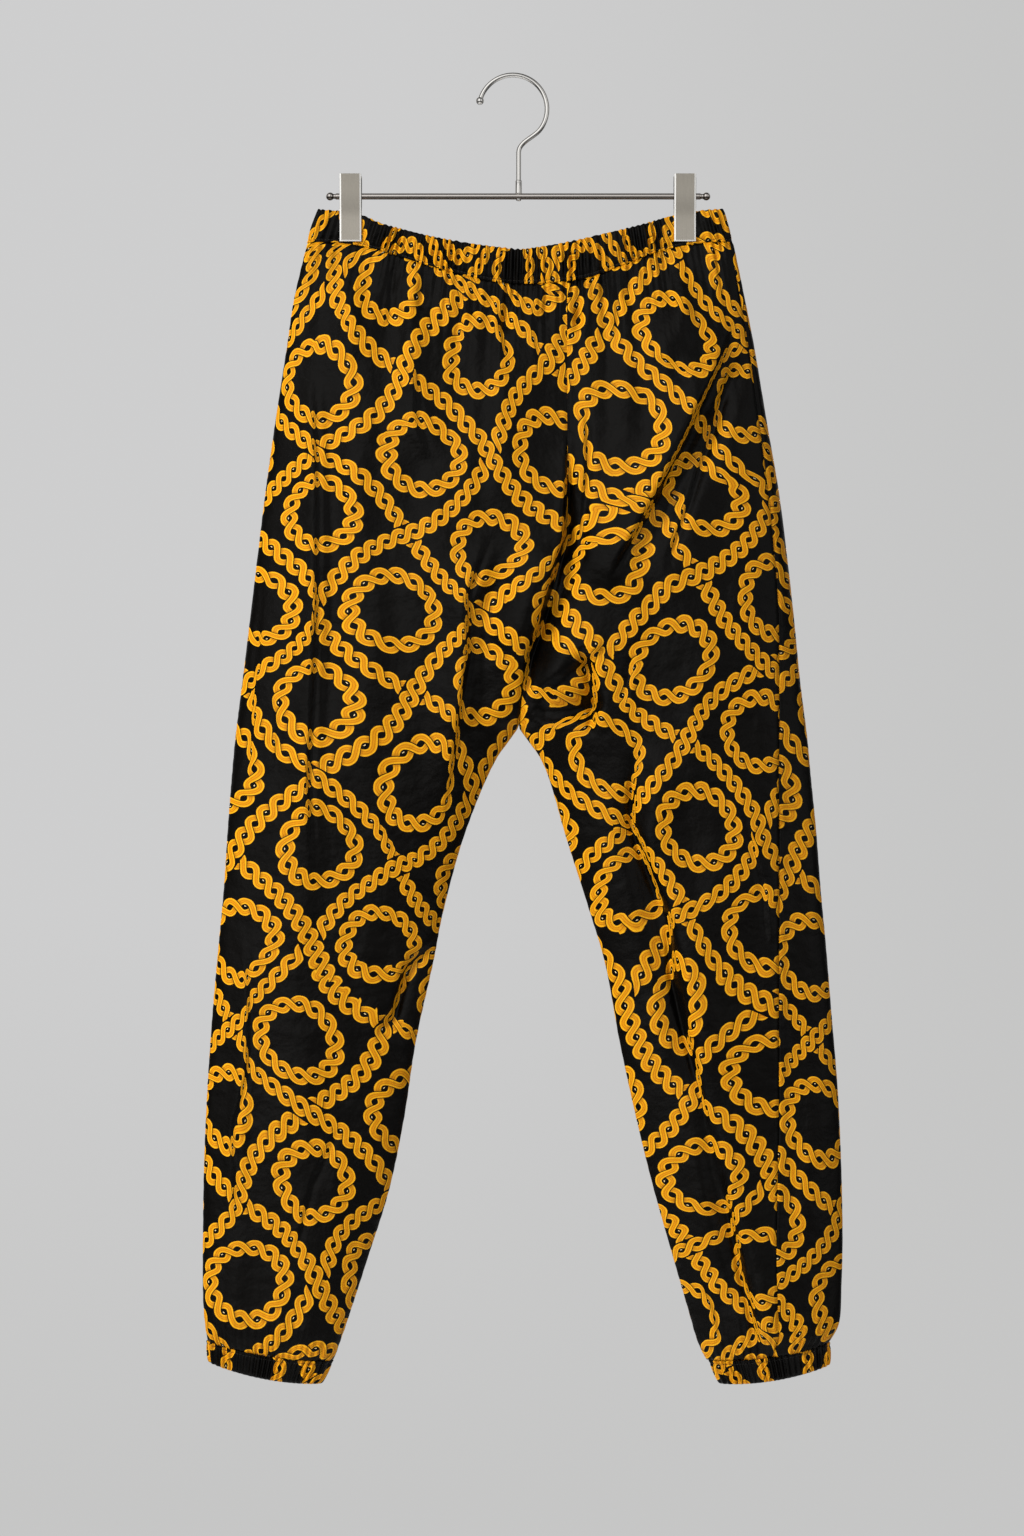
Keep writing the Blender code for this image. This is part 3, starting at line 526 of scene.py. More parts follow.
def add_node(tree, kind, inputs=None, **settings):
    """Adds a node, and returns what it puts out."""
    node = tree.nodes.new("ShaderNode" + kind)
    for label, setting in settings.items():
        setattr(node, label, setting)
    feed(node.inputs, inputs or {})
    return {socket.name: Value(socket) for socket in node.outputs}


def maths(operation, *values):
    tree = next(value.tree for value in values if isinstance(value, Value))
    return add_node(tree, "Math", dict(enumerate(values)), operation=operation)["Value"]


def blend(share, first, second, kind="RGBA"):
    """Blends two colours, or two numbers if kind is FLOAT."""
    node = share.tree.nodes.new("ShaderNodeMix")
    node.data_type = kind
    feed([socket for socket in node.inputs if socket.enabled], {0: share, 1: first, 2: second})
    return Value([socket for socket in node.outputs if socket.enabled][0])


def noise(place, scale, detail=2.0):
    return add_node(place.tree, "TexNoise", {"Vector": place, "Scale": scale, "Detail": detail})


def parts(place):
    """A place's x, y and z."""
    return list(add_node(place.tree, "SeparateXYZ", {"Vector": place}).values())


def odd(number):
    return maths("FLOORED_MODULO", number, 2.0)


def effect(name, inputs, outputs):
    """A new shader node group with named sockets: itself, what it is given, and what it has to be fed."""
    group = bpy.data.node_groups.new(name, "ShaderNodeTree")
    for way, sockets in (("INPUT", inputs), ("OUTPUT", outputs)):
        for label, kind in sockets.items():
            group.interface.new_socket(name=label, in_out=way, socket_type="NodeSocket" + kind)
    given = {socket.name: Value(socket) for socket in group.nodes.new("NodeGroupInput").outputs}
    return group, given, group.nodes.new("NodeGroupOutput").inputs


def new_finish(name):
    """A new material: itself, its nodes and its shader's sockets."""
    finish = bpy.data.materials.new(name)
    finish.use_nodes = True
    return finish, finish.node_tree, finish.node_tree.nodes["Principled BSDF"].inputs


# One braid: two strands that twist round each other, with a dark eye between them at each turn. Its sizes are
# a strand's swing to each side, half its width, its steepest slope, and how sharply its edges end.
BRAID_HALF = 5.1
STRAND_HALF = 2.65
STRAND_SLOPE = 1.23
EDGE_SHARPNESS = 9.0
braid, given, made = effect("two strand braid", {"Along": "Float", "Across": "Float"},
                            {"Colour": "Color", "Gold": "Float"})
along, across = given["Along"], given["Across"]
turned = (along - maths("ROUND", along)) * math.pi
swing = maths("SINE", turned) * BRAID_HALF
slope = maths("COSINE", turned) * STRAND_SLOPE
squeeze = (1.0 / STRAND_HALF) / maths("SQRT", slope * slope + 1.0)
over = abs((across - swing) * squeeze)
under = abs((across + swing) * squeeze)
on_over = ((1.0 - over) * EDGE_SHARPNESS).clamped()
clear_of_over = ((over - 1.16) * EDGE_SHARPNESS).clamped()
on_under = ((1.0 - under) * EDGE_SHARPNESS).clamped() * clear_of_over
tones = add_node(braid, "ValToRGB", {"Fac": blend(on_over, under, over, "FLOAT")})["Color"]
stops = tones.socket.node.color_ramp.elements
for number, (position, colour) in enumerate((
    (0.0, (0.66, 0.26, 0.005)), (0.20, (0.62, 0.23, 0.004)), (0.30, (0.30, 0.095, 0.002)),
    (0.40, (0.66, 0.26, 0.005)), (0.62, (0.74, 0.33, 0.007)), (0.80, (0.93, 0.50, 0.016)),
    (0.93, (0.76, 0.33, 0.007)), (1.0, (0.34, 0.11, 0.002)),
)):
    stop = stops[number] if number < 2 else stops.new(position)
    stop.position = position
    stop.color = (*colour, 1.0)
shaded = (2.3 - over).clamped() * (1.0 - on_over) * 0.62
strand_colour = blend(shaded, tones, (0.24, 0.08, 0.002))
near_eye = abs(turned) > 1.40
on_glint_line = abs(across - 0.7) < 0.32
glint = near_eye * on_glint_line * (odd(maths("FLOOR", along)) > 0.5)
feed(made, {
    "Colour": blend(glint, strand_colour, (0.86, 0.72, 0.42)),
    "Gold": maths("MAXIMUM", maths("MAXIMUM", on_over, on_under), glint),
})

# The print: braids that cross in a wavy lattice, over and under by turns, with a braided ring in each mesh.
# DIAGONAL turns metres of the cut into millimetres along the lattice.
MESH_SIDE = 102.0
WAVE = 10.0
BEND = math.pi / MESH_SIDE
TURNS_A_SIDE = 8.0
BRAID_MARGIN = 1.2
RING_RADIUS = 31.0
RING_TURNS = 14
DIAGONAL = 1000.0 * math.sqrt(0.5)
braid_print, given, made = effect("braid print", {"Cut": "Vector"}, {"Colour": "Color", "Gold": "Float"})
drawn_place = given["Cut"]
# Drawn by hand, its lines wander slowly and a little: how fine, how far in metres.
for fineness, wander in ((4.5, 0.050), (13.0, 0.012)):
    hand = noise(given["Cut"], fineness, 0.0)["Color"]
    drawn_place = add_node(braid_print, "VectorMath", {0: hand, 1: (wander, wander, 0.0), 2: drawn_place},
                           operation="MULTIPLY_ADD")["Vector"]
cut_x, cut_y = parts(drawn_place)[:2]
rising = (cut_x + cut_y) * DIAGONAL
falling = (cut_y - cut_x) * DIAGONAL


def lattice_braid(main, cross):
    """A family of wavy braids that run along main: their colour, their gold, where they cover, their row."""
    angle = main * BEND
    waved = cross - maths("SINE", angle) * WAVE
    row = waved / MESH_SIDE
    away = waved - maths("ROUND", row) * MESH_SIDE
    slope = maths("COSINE", angle) * (WAVE * BEND)
    squared = slope * slope + 1.0
    across = away / maths("SQRT", squared)
    nearest = main + away * slope / squared
    along = nearest * (TURNS_A_SIDE / MESH_SIDE)
    strands = add_node(braid_print, "Group", {"Along": along, "Across": across}, node_tree=braid)
    return strands["Colour"], strands["Gold"], abs(across) < BRAID_HALF + STRAND_HALF + BRAID_MARGIN, row


rising_colour, rising_gold, rising_cover, falling_row = lattice_braid(rising, falling)
falling_colour, falling_gold, falling_cover, rising_row = lattice_braid(falling, rising)
rising_on_top = odd(maths("ROUND", rising_row) + maths("ROUND", falling_row)) > 0.5
rising_seen = rising_gold * (1.0 - falling_cover * (1.0 - rising_on_top))
falling_seen = falling_gold * (1.0 - rising_cover * rising_on_top)


def from_mesh_centre(main, main_row, cross_row):
    """The distance along main from the middle of the mesh, which the waves shift to and fro."""
    middle = (maths("FLOOR", main_row) + 0.5) * MESH_SIDE
    return main - (middle + (odd(maths("FLOOR", cross_row)) * (-2.0 * WAVE) + WAVE))


ring_x = from_mesh_centre(rising, rising_row, falling_row)
ring_y = from_mesh_centre(falling, falling_row, rising_row)
ring = add_node(braid_print, "Group", {
    "Along": maths("ARCTAN2", ring_y, ring_x) * (RING_TURNS / (2.0 * math.pi)),
    "Across": maths("SQRT", ring_x * ring_x + ring_y * ring_y) - RING_RADIUS,
}, node_tree=braid)
lattice_colour = blend(falling_seen, rising_colour, falling_colour)
feed(made, {
    "Colour": blend(ring["Gold"], lattice_colour, ring["Colour"]),
    "Gold": maths("MAXIMUM", maths("MAXIMUM", rising_seen, falling_seen), ring["Gold"]),
})

# The cloth itself: a fine close weave, and the slight crumple that handling leaves in it.
weave, given, made = effect("cloth weave", {"Cut": "Vector", "Thread": "Float"},
                            {"Weave": "Float", "Crumple": "Float", "Tone": "Float"})
threads = 2.0 * math.pi / given["Thread"]
warp, weft = (maths("SINE", place * threads) for place in parts(given["Cut"])[:2])
feed(made, {
    "Weave": warp * weft * 0.5 + 0.5,
    "Crumple": noise(given["Cut"], 55.0, 3.0)["Fac"],
    "Tone": noise(given["Cut"], 420.0)["Fac"],
})


def printed_cloth(name, ground, strength, roughness):
    """Cloth with the braid print at full or lesser strength."""
    finish, tree, shader = new_finish(name)
    cut = add_node(tree, "UVMap", uv_map="cut")["UV"]
    pattern = add_node(tree, "Group", {"Cut": cut}, node_tree=braid_print)
    cloth = add_node(tree, "Group", {"Cut": cut, "Thread": 0.0007}, node_tree=weave)
    ink = blend(cloth["Tone"] * 0.35, pattern["Colour"], (0.62, 0.25, 0.004))
    crumple = add_node(tree, "Bump", {"Strength": 0.6, "Distance": 0.0032, "Height": cloth["Crumple"]})
    grain = add_node(tree, "Bump", {"Strength": 0.3, "Distance": 0.00008, "Height": cloth["Weave"],
                                    "Normal": crumple["Normal"]})
    feed(shader, {
        "Base Color": blend(pattern["Gold"] * strength, ground, ink),
        "Roughness": pattern["Gold"] * 0.06 + roughness,
        "Specular IOR Level": 0.125,
        "Sheen Weight": 0.004,
        "Sheen Roughness": 0.45,
        "Normal": grain["Normal"],
    })
    return finish


right_side = printed_cloth("printed cloth", (0.0016, 0.0013, 0.0010), 1.0, 0.32)
wrong_side = printed_cloth("wrong side of the cloth", (0.018, 0.016, 0.014), 0.3, 0.75)

# Each panel: its name, its leg, its first and last edge, its columns, the shift of its print, and the cut's
# size and area. An edge is a turn round the leg, or the side seam.
SIDE_SEAM = None
PANELS = (
    ("front_left", "left", (0.0, FRONT), 200, (0.0, 0.0), (0.36, 0.99), 0.225),
    ("front_right", "right", (FRONT, SIDE_SEAM), 170, (31.0, 47.0), (0.30, 0.99), 0.17),
    ("back_right", "right", (SIDE_SEAM, BACK), 200, (58.0, 12.0), (0.40, 0.99), 0.25),
    ("back_left", "left", (BACK, 0.0), 200, (-40.0, 30.0), (0.36, 0.99), 0.23),
)
PANEL_ROWS = 225


def leg_panel(side, edges, print_shift):
    """Places a panel's points between its edges, sunk and puckered along its seams, and its print."""
    def place(across, down):
        level = LAST * (0.55 * down + 0.45 * down**1.5)
        start, end = (side_seam_turn(level) if edge is SIDE_SEAM else edge for edge in edges)
        points, hidden = leg_surface(side, level, part_way(start, end, across))
        x, z = points[..., 0], points[..., 2]
        run = run_along(points[..., :2], 1)
        middle = [run.shape[1] // 2]
        facing = 1.0 if x[0, -1] > x[0, 0] else -1.0
        fullness = 1.0 + (BAND_FULLNESS - 1.0) * np.exp((z - LEFT_Z[0]) / 70.0)
        laid = facing * x[:, middle] + (run - run[:, middle]) * fullness
        cut = np.stack((laid + facing * hidden[..., 0], z + hidden[..., 1]), axis=-1) + print_shift
        edge = np.minimum(run, run[:, -1:] - run)
        to_centre = run[:, -1:] - run if edges[1] in (FRONT, BACK) else run
        trunk = (to_centre < 20.0) & (level < CROTCH + 0.6)
        outward = outward_from(np.gradient(points, axis=1))
        outward[trunk, 0] = 0.0
        pucker = 0.22 * np.sin(z / 1.7 + 1.3 * np.sin(z / 11.0)) * np.exp(-edge / 5.0)
        groove = SEAM_GROOVE * bell(edge, 1.7) + 0.5 * bell(z - z[0], 2.0) + 0.6 * bell(z - z[-1], 1.6)
        sunk = (pucker - groove) * np.where(trunk, fade((CROTCH - level) / 1.2), 1.0)
        return points + outward * sunk[..., None], cut
    return place


for name, side, edges, columns, print_shift, flat_size, flat_area in PANELS:
    panel = bent_sheet(name + "_cloth", columns, PANEL_ROWS, leg_panel(side, edges, print_shift),
                       right_side, wrong_side)
    shell = panel.modifiers.new("thickness", "SOLIDIFY")
    shell.thickness = SHELL * METRES
    shell.offset = -1.0
    shell.material_offset = 1
    fasten(panel, "cloth", name)

# The waistband. A strip of the same cloth is folded over elastic into a casing, sewn into a ring and
# topstitched above its lower edge. The elastic draws it into small gathers, which the clips press flat.
BAND_COLUMNS = 1000
# Its front hangs a little lower, by this much for each millimetre that it stands out.
FRONT_DROP = 0.16
# The casing's section, from its crown over the outer face, under its foot and up the inner face: the share
# of the way down, the place out from the face, and how much of the gathers' height shows.
CASING = np.array((
    (-0.028, -1, 0.5), (-0.020, -0.45, 0.6), (0, -0.08, 0.75), (0.04, 0.22, 0.85), (0.10, 0.45, 0.95),
    (0.20, 0.62, 1), (0.32, 0.72, 1), (0.44, 0.76, 1), (0.56, 0.74, 1), (0.68, 0.66, 1), (0.78, 0.5, 1),
    (0.85, 0.22, 1), (0.89, -0.1, 0.95), (0.915, -0.28, 0.9), (0.94, -0.08, 0.95), (0.97, 0.02, 0.95),
    (0.99, -0.2, 0.9), (1, -0.7, 0.8), (1, -1.5, 0.5), (0.98, -2, 0.5), (0.90, -2.2, 0.5), (0.70, -2.3, 0.5),
    (0.45, -2.35, 0.5), (0.20, -2.25, 0.5), (0.04, -2.05, 0.5), (-0.018, -1.6, 0.5), (-0.028, -1, 0.5),
))
FACE_ROW = 8
FOOT_ROW = 17
# Where the band's print is set from: a place on the front of the waist, and the print's own place there.
PRINT_AT = -70.0
PRINT_PLACE = -82.0


def outward_round(rings):
    """The direction outwards at each point of rings whose ends meet."""
    tangent = np.roll(rings, -1, axis=1) - np.roll(rings, 1, axis=1)
    tangent[:, 0] = tangent[:, -1] = rings[:, 1] - rings[:, -2]
    return outward_from(tangent)


def band_surface(across, section):
    """The band's points and the directions out of it, by the share of the way round and a row of its
    section."""
    share, face = flat_loop(np.interp(across, WAIST_RUN, WAIST_ANGLES))
    down, out, part = np.moveaxis(section, -1, 0)
    held = np.clip(down, 0.0, 1.0)
    left = part_way(TOP_X[0], FOOT_X[0], held)
    right = part_way(TOP_X[-1], FOOT_X[-1], held)
    x = part_way(left, right, share)
    y = face * pinched_half_depth(x, left, right)
    top_z, foot_z = (smooth_curve(edge_z, part_way(edge_x[0], edge_x[-1], share), edge_x)
                     for edge_x, edge_z in ((TOP_X, TOP_Z), (FOOT_X, FOOT_Z)))
    top_z = top_z + FRONT_DROP * np.minimum(y, 0.0)
    gathers = waist_gathers(across, 0.0)
    near_end = np.minimum(x - FOOT_X[0], FOOT_X[-1] - x) < 20.0
    loose = np.where(near_end, 0.6, 0.25 + 0.75 * looseness(np.abs(y)))
    z = part_way(top_z, foot_z, down) + 0.45 * gathers * np.exp(-np.abs(down) / 0.06)
    points = np.stack((x, y, z), axis=-1)
    outward = outward_round(points)
    lift = out + gathers * (part + 0.2 * np.sin(9.0 * down + 3.0 * face)) * loose
    return points + outward * lift[..., None], outward


def casing(name, columns, surface, table, laid):
    """A ring of cloth folded over elastic. surface places the rows of its section's table, and laid gives its
    print's coordinates from its points, how far round they lie and how far over."""
    def place(across, down):
        points = surface(across, table[np.rint(down * (len(table) - 1)).astype(int)])[0]
        flat = laid(points, run_along(points[FACE_ROW, :, :2]), run_along(points))
        return points, np.stack(np.broadcast_arrays(*flat), axis=-1)
    ring = bent_sheet(name + "_casing", columns, len(table) - 1, place, right_side, closed=True)
    return fasten(ring, "cloth", name)


def band_laid(points, run, over):
    front = slice(0, BAND_COLUMNS // 2)
    start = np.interp(PRINT_AT, points[FACE_ROW, front, 0], run[front])
    return (run - start) * BAND_FULLNESS + PRINT_PLACE, points[FOOT_ROW, :, 2] + over[FOOT_ROW] - over


band = casing("waistband", BAND_COLUMNS, band_surface, CASING, band_laid)

# Its topstitch is black thread, one long stitch after another in the groove above the lower edge. It holds
# the casing's turned-in edge down.
STITCH_LENGTH = 2.5
STITCH_PITCH = 3.1
STITCH_RADIUS = 0.27
thread, tree, shader = new_finish("black thread")
ply = noise(add_node(tree, "TexCoord")["Object"], 2600.0)["Fac"]
feed(shader, {
    "Base Color": blend(ply, (0.006, 0.0055, 0.005), (0.022, 0.020, 0.018)),
    "Roughness": ply * 0.3 + 0.45,
})


def small_piece(name, shape, finishes, slot, *nodes):
    """Stands a piece that is shaped in millimetres."""
    bmesh.ops.scale(shape, vec=(METRES, METRES, METRES), verts=shape.verts[:])
    piece = stand(name, shape, *finishes)
    piece.data.shade_smooth()
    return fasten(piece, slot, *nodes)


def stitch_row(name, surface, groove, steps):
    """Stitches laid end to end in a groove round a casing."""
    line, outward = (rings[0] for rings in surface(
        np.linspace(0.0, 1.0, steps)[None, :], np.tile(groove, (1, steps, 1))))
    run = run_along(line)
    count = int(run[-1] / STITCH_PITCH)
    row = bmesh.new()
    for number in range(count):
        first = run[-1] * number / count
        start, end = (np.array([np.interp(at, run, line[:, axis]) for axis in range(3)])
                      for at in (first, first + STITCH_LENGTH))
        way = Vector(end - start).normalized()
        side = way.cross(Vector(outward[np.searchsorted(run, first)])).normalized()
        turn = Matrix((way, side, way.cross(side))).transposed().to_4x4()
        size = Matrix.Diagonal((STITCH_LENGTH / 2.0, STITCH_RADIUS, STITCH_RADIUS, 1.0))
        bmesh.ops.create_uvsphere(row, u_segments=6, v_segments=5, radius=1.0,
                                  matrix=Matrix.Translation(Vector((start + end) / 2.0)) @ turn @ size)
    small_piece(name, row, (thread,), "cloth")


stitch_row("waistband_stitches", band_surface, (0.915, -0.12, 0.9), 1201)

# The cuffs. Each ankle ends in a narrow casing with elastic in it, turned up from a strip of the cloth and
# topstitched along its upper edge.
# Each cuff: its upper and its lower edge as left x, left z, right x, right z, and where its print starts.
CUFFS = (
    ("left", (-267, -1098.5, -157.2, -1115.5), (-265.5, -1117.5, -167, -1136), (-98, -1086)),
    ("right", (169.5, -1115.5, 274.5, -1100), (178.5, -1136, 274.5, -1120), (28, -1108.5)),
)
CUFF_COLUMNS = 384
CUFF_DEPTH = 13.0
CUFF_TAPER = 2.0
CUFF_FULLNESS = 1.12
CUFF_SECTION = np.array((
    (0, -1.4, 0.4), (0, -0.7, 0.7), (0.015, -0.3, 0.9), (0.05, 0.05, 1), (0.11, -0.15, 1), (0.15, -0.35, 0.9),
    (0.20, -0.05, 1), (0.28, 0.3, 1), (0.40, 0.5, 1), (0.55, 0.58, 1), (0.70, 0.5, 1), (0.84, 0.3, 1),
    (0.94, 0.02, 0.9), (0.99, -0.4, 0.8), (1.01, -1, 0.6), (0.99, -1.5, 0.5), (0.90, -1.8, 0.5),
    (0.70, -1.9, 0.5), (0.45, -1.9, 0.5), (0.20, -1.85, 0.5), (0.05, -1.8, 0.5), (0, -1.4, 0.4),
))


def oval(share):
    return rounding(2.0 * share) * rounding(2.0 * (1.0 - share))


def cuff_surface(side, upper, lower):
    """Gives a cuff's points and the directions out of it, as band_surface does."""
    angles, runs = loop_table(upper[0], upper[2], lambda x, left, right: CUFF_DEPTH * oval(
        (x - left) / (right - left)), 1200)

    def surface(across, section):
        share, face = flat_loop(np.interp(across, runs, angles))
        down, out, part = np.moveaxis(section, -1, 0)
        x, z = (part_way(part_way(upper[axis], upper[axis + 2], share),
                         part_way(lower[axis], lower[axis + 2], share), down) for axis in (0, 1))
        y = face * (CUFF_DEPTH - CUFF_TAPER * down) * oval(share)
        points = np.stack((x, y, z - hem_sag(share)), axis=-1)
        outward = outward_round(points)
        turn = way_round(share, face)
        gathers = cuff_gathers(turn if side == "left" else 1.5 - turn, 0.0)
        return points + outward * (out + gathers * part)[..., None], outward
    return surface


for side, upper, lower, print_start in CUFFS:
    surface = cuff_surface(side, upper, lower)
    cuff = casing("cuff_" + side, CUFF_COLUMNS, surface, CUFF_SECTION, lambda points, run, over: (
        print_start[0] + run * CUFF_FULLNESS, print_start[1] - over))
    stitch_row("cuff_" + side + "_stitches", surface, (0.15, -0.16, 0.9), 401)

# The bar. A straight round steel rod, drawn smooth and satin finished, with a ball turned on each end. It
# carries the hook at its middle and the two clips.
BAR_HEIGHT = -103.65
BAR_RADIUS = 2.7
BAR_LEFT = -160.0
BAR_RIGHT = 167.3
BALL_RADIUS = 3.5
NECK_RADIUS = BAR_RADIUS * 0.8

brushing, given, made = effect("brushed grain", {"Place": "Vector", "Stretch": "Vector"},
                               {"Streaks": "Float", "Patches": "Float"})
stretched = add_node(brushing, "VectorMath", {0: given["Place"], 1: given["Stretch"]}, operation="MULTIPLY")
feed(made, {
    "Streaks": noise(stretched["Vector"], 1.0, 4.0)["Fac"],
    "Patches": noise(given["Place"], 55.0, 4.0)["Fac"],
})


def brushed_steel(name, light, dark, roughness, stretch, metallic=1.0, painted_shade_below=None):
    """Satin steel whose grain runs the way that stretch is small. Below a height, if given, its colour
    darkens as painted shade.
    """
    finish, tree, shader = new_finish(name)
    spot = add_node(tree, "TexCoord")["Object"]
    grain = add_node(tree, "Group", {"Place": spot, "Stretch": stretch}, node_tree=brushing)
    colour = blend(grain["Streaks"], dark, light)
    if painted_shade_below is not None:
        # Painted shade: below that height the colour is blended to a dark brown-grey, standing in for the
        # shade on the underside.
        under = ((painted_shade_below * METRES - parts(spot)[2]) * 800.0).clamped()
        colour = blend(under, colour, (0.17, 0.148, 0.130))
    feed(shader, {
        "Base Color": colour,
        "Metallic": metallic,
        "Roughness": grain["Streaks"] * 0.10 + (grain["Patches"] * 0.10 + (roughness - 0.05)),
    })
    return finish


# The bar's underside is darkened by painted shade.
bar_steel = brushed_steel("bar steel", (0.78, 0.735, 0.70), (0.68, 0.635, 0.60), 0.12, (6.0, 300.0, 300.0),
                          painted_shade_below=BAR_HEIGHT + 0.2)


def turned_rod(profile, axis, centre):
    """A solid turned on a lathe: its profile as (place along the axis, radius), spun round the axis."""
    rod = bmesh.new()
    side = Vector((0.0, 0.0, 1.0)) if axis.x else Vector((1.0, 0.0, 0.0))
    line = [rod.verts.new(centre + axis * along + side * radius) for along, radius in profile]
    edges = [rod.edges.new(pair) for pair in zip(line, line[1:])]
    bmesh.ops.spin(rod, geom=line + edges, cent=centre, axis=axis, angle=2.0 * math.pi, steps=40,
                   use_merge=True)
    bmesh.ops.remove_doubles(rod, verts=rod.verts[:], dist=1e-4)
    bmesh.ops.recalc_face_normals(rod, faces=rod.faces[:])
    return rod


# An end's profile goes over its ball from the pole to the neck, and on to the full rod.
ball_angle = math.pi - math.asin(NECK_RADIUS / BALL_RADIUS)
bar_end = [(-BALL_RADIUS * math.cos(ball_angle * step / 14), BALL_RADIUS * math.sin(ball_angle * step / 14))
           for step in range(15)] + [(4.6, NECK_RADIUS), (5.2, BAR_RADIUS)]
bar_profile = [(BAR_LEFT + along, radius) for along, radius in bar_end]
bar_profile += [(BAR_LEFT + 6.0 + step * 39.4, BAR_RADIUS) for step in range(9)]
bar_profile += [(BAR_RIGHT - along, radius) for along, radius in reversed(bar_end)]
bar = turned_rod(bar_profile, Vector((1.0, 0.0, 0.0)), Vector((0.0, 0.0, BAR_HEIGHT)))
small_piece("bar", bar, (bar_steel,), "hanger_wire", "hanger_bar")

# The hook. One steel wire with a ball at its tip runs over the crown, bends back to the middle and stands in
# a turned collar on the bar. A rivet holds it from below.
hook_steel = brushed_steel("hook steel", (0.90, 0.885, 0.86), (0.80, 0.785, 0.76), 0.10, (200.0, 200.0, 30.0))
WIRE_RADIUS = 2.15
# The crown is round from the tip's angle to the angle where the wire leaves it for the straight stem.
CROWN_RADIUS = 29.6
CROWN_CENTRE = Vector((-0.9, 0.0, -27.6))
TIP_ANGLE = math.radians(166.0)
LEAVE_ANGLE = math.radians(-34.0)
STEM_X = 4.0
STEM_TOP = Vector((STEM_X, 0.0, -66.0))
BEND_PULL = 10.5
COLLAR_TOP = -89.5
UP = Vector((0.0, 0.0, 1.0))


def bent_wire(name, path, radius):
    """A round wire along a path in millimetres."""
    line = bpy.data.curves.new(name, "CURVE")
    line.dimensions = "3D"
    line.bevel_depth = radius
    line.bevel_resolution = 6
    line.use_fill_caps = True
    spline = line.splines.new("POLY")
    spline.points.add(len(path) - 1)
    for point, spot in zip(spline.points, path):
        point.co = (*spot, 1.0)
    drawn = bpy.data.objects.new(name, line)
    wire = bmesh.new()
    wire.from_mesh(bpy.data.meshes.new_from_object(drawn))
    bpy.data.objects.remove(drawn)
    bmesh.ops.recalc_face_normals(wire, faces=wire.faces[:])
    return wire


def on_crown(angle):
    return CROWN_CENTRE + CROWN_RADIUS * Vector((math.cos(angle), 0.0, math.sin(angle)))


hook_path = [on_crown(TIP_ANGLE + (LEAVE_ANGLE - TIP_ANGLE) * step / 80) for step in range(81)]
pull_start = hook_path[-1] + Vector((math.sin(LEAVE_ANGLE), 0.0, -math.cos(LEAVE_ANGLE))) * BEND_PULL
for step in range(1, 25):
    share = step / 24
    rest = 1.0 - share
    hook_path.append(on_crown(LEAVE_ANGLE) * rest**3 + pull_start * 3 * share * rest**2
                     + (STEM_TOP + UP * BEND_PULL) * 3 * share**2 * rest + STEM_TOP * share**3)
hook_path += [Vector((STEM_X, 0.0, height)) for height in (-72.0, -80.0, COLLAR_TOP - 0.6)]
hook = bent_wire("hook", hook_path, WIRE_RADIUS)
bmesh.ops.create_uvsphere(hook, u_segments=32, v_segments=20, radius=BALL_RADIUS,
                          matrix=Matrix.Translation(on_crown(TIP_ANGLE)))
small_piece("hook", hook, (hook_steel,), "hanger_wire", "hanger_hook")

# The collar and the rivet. Both are turned from steel rod: the collar is pressed on the hook's stem, and the
# rivet is closed under the bar. Each profile gives the place down from its top and the radius.
collar_depth = COLLAR_TOP - (BAR_HEIGHT + BAR_RADIUS * 0.7)
for name, node, top, profile in (
    ("collar", "hanger_collar", COLLAR_TOP, (
        (0.0, 0.0), (0.0, 1.9), (0.15, 2.45), (0.7, 2.85), (2.2, 2.9), (2.45, 2.72), (2.7, 2.9),
        (collar_depth - 0.8, 2.9), (collar_depth, 2.7), (collar_depth, 0.0))),
    ("rivet", "hanger_nub", BAR_HEIGHT - BAR_RADIUS * 0.8, (
        (0.0, 0.0), (0.0, 2.4), (0.7, 2.4), (1.3, 2.1), (1.8, 1.3), (2.0, 0.0))),
):
    turned = turned_rod([(top - down, radius) for down, radius in profile], UP, Vector((STEM_X, 0.0, 0.0)))
    small_piece(name, turned, (hook_steel,), "hanger_wire", node)

# The clips. Each is two bent plates of brushed steel and a coil spring on the bar, which shuts their jaws on
# the waistband. Their long edges fall away a little and are polished; their brightness here is a painted
# highlight, a pale half-metal colour. Ears are folded in from their sides, and the front plate's reach back
# to the back plate; their near-black colour is painted shade.
# A plate's width and thickness, the border along its sides and jaw, and how far that falls away.
CLIP_WIDTH = 18.8
CLIP_PLATE = 1.6
CLIP_BORDER = 1.4
CLIP_FALL = 0.3
CLIP_CENTRES = (("left", -142.0), ("right", 148.6))
# A plate's inner face, from its free upper end down to the jaw: the distance from the middle, the height.
CLIP_BENDS = (
    (7.6, -85), (6.95, -91), (6.3, -99), (5.8, -105), (5.15, -110), (4.45, -115), (3.85, -119), (3.6, -123),
    (3.6, -130), (3.6, -137), (3.6, -142.2), (3.6, -143.4),
)
# An ear's thickness, depth and height, and how far in from its plate's side it stands.
EAR = (0.8, 9.6, 27.0)
EAR_INSETS = {FRONT: 0.24, BACK: 1.4}
COIL_TURNS = 7
COIL_RADIUS = 3.9
COIL_HALF = 5.6
COIL_WIRE = 0.7
plate_steel = brushed_steel("plate steel", (0.62, 0.58, 0.51), (0.50, 0.465, 0.405), 0.42,
                            (1100.0, 1100.0, 25.0))
# The border's pale half-metal steel is a painted highlight: its light colour stands in for the bright
# reflection along the polished edges.
edge_painted_highlight_steel = brushed_steel("plate edge painted highlight steel", (0.86, 0.85, 0.825), (0.76, 0.75, 0.725), 0.3,
                           (300.0, 300.0, 60.0), 0.35)
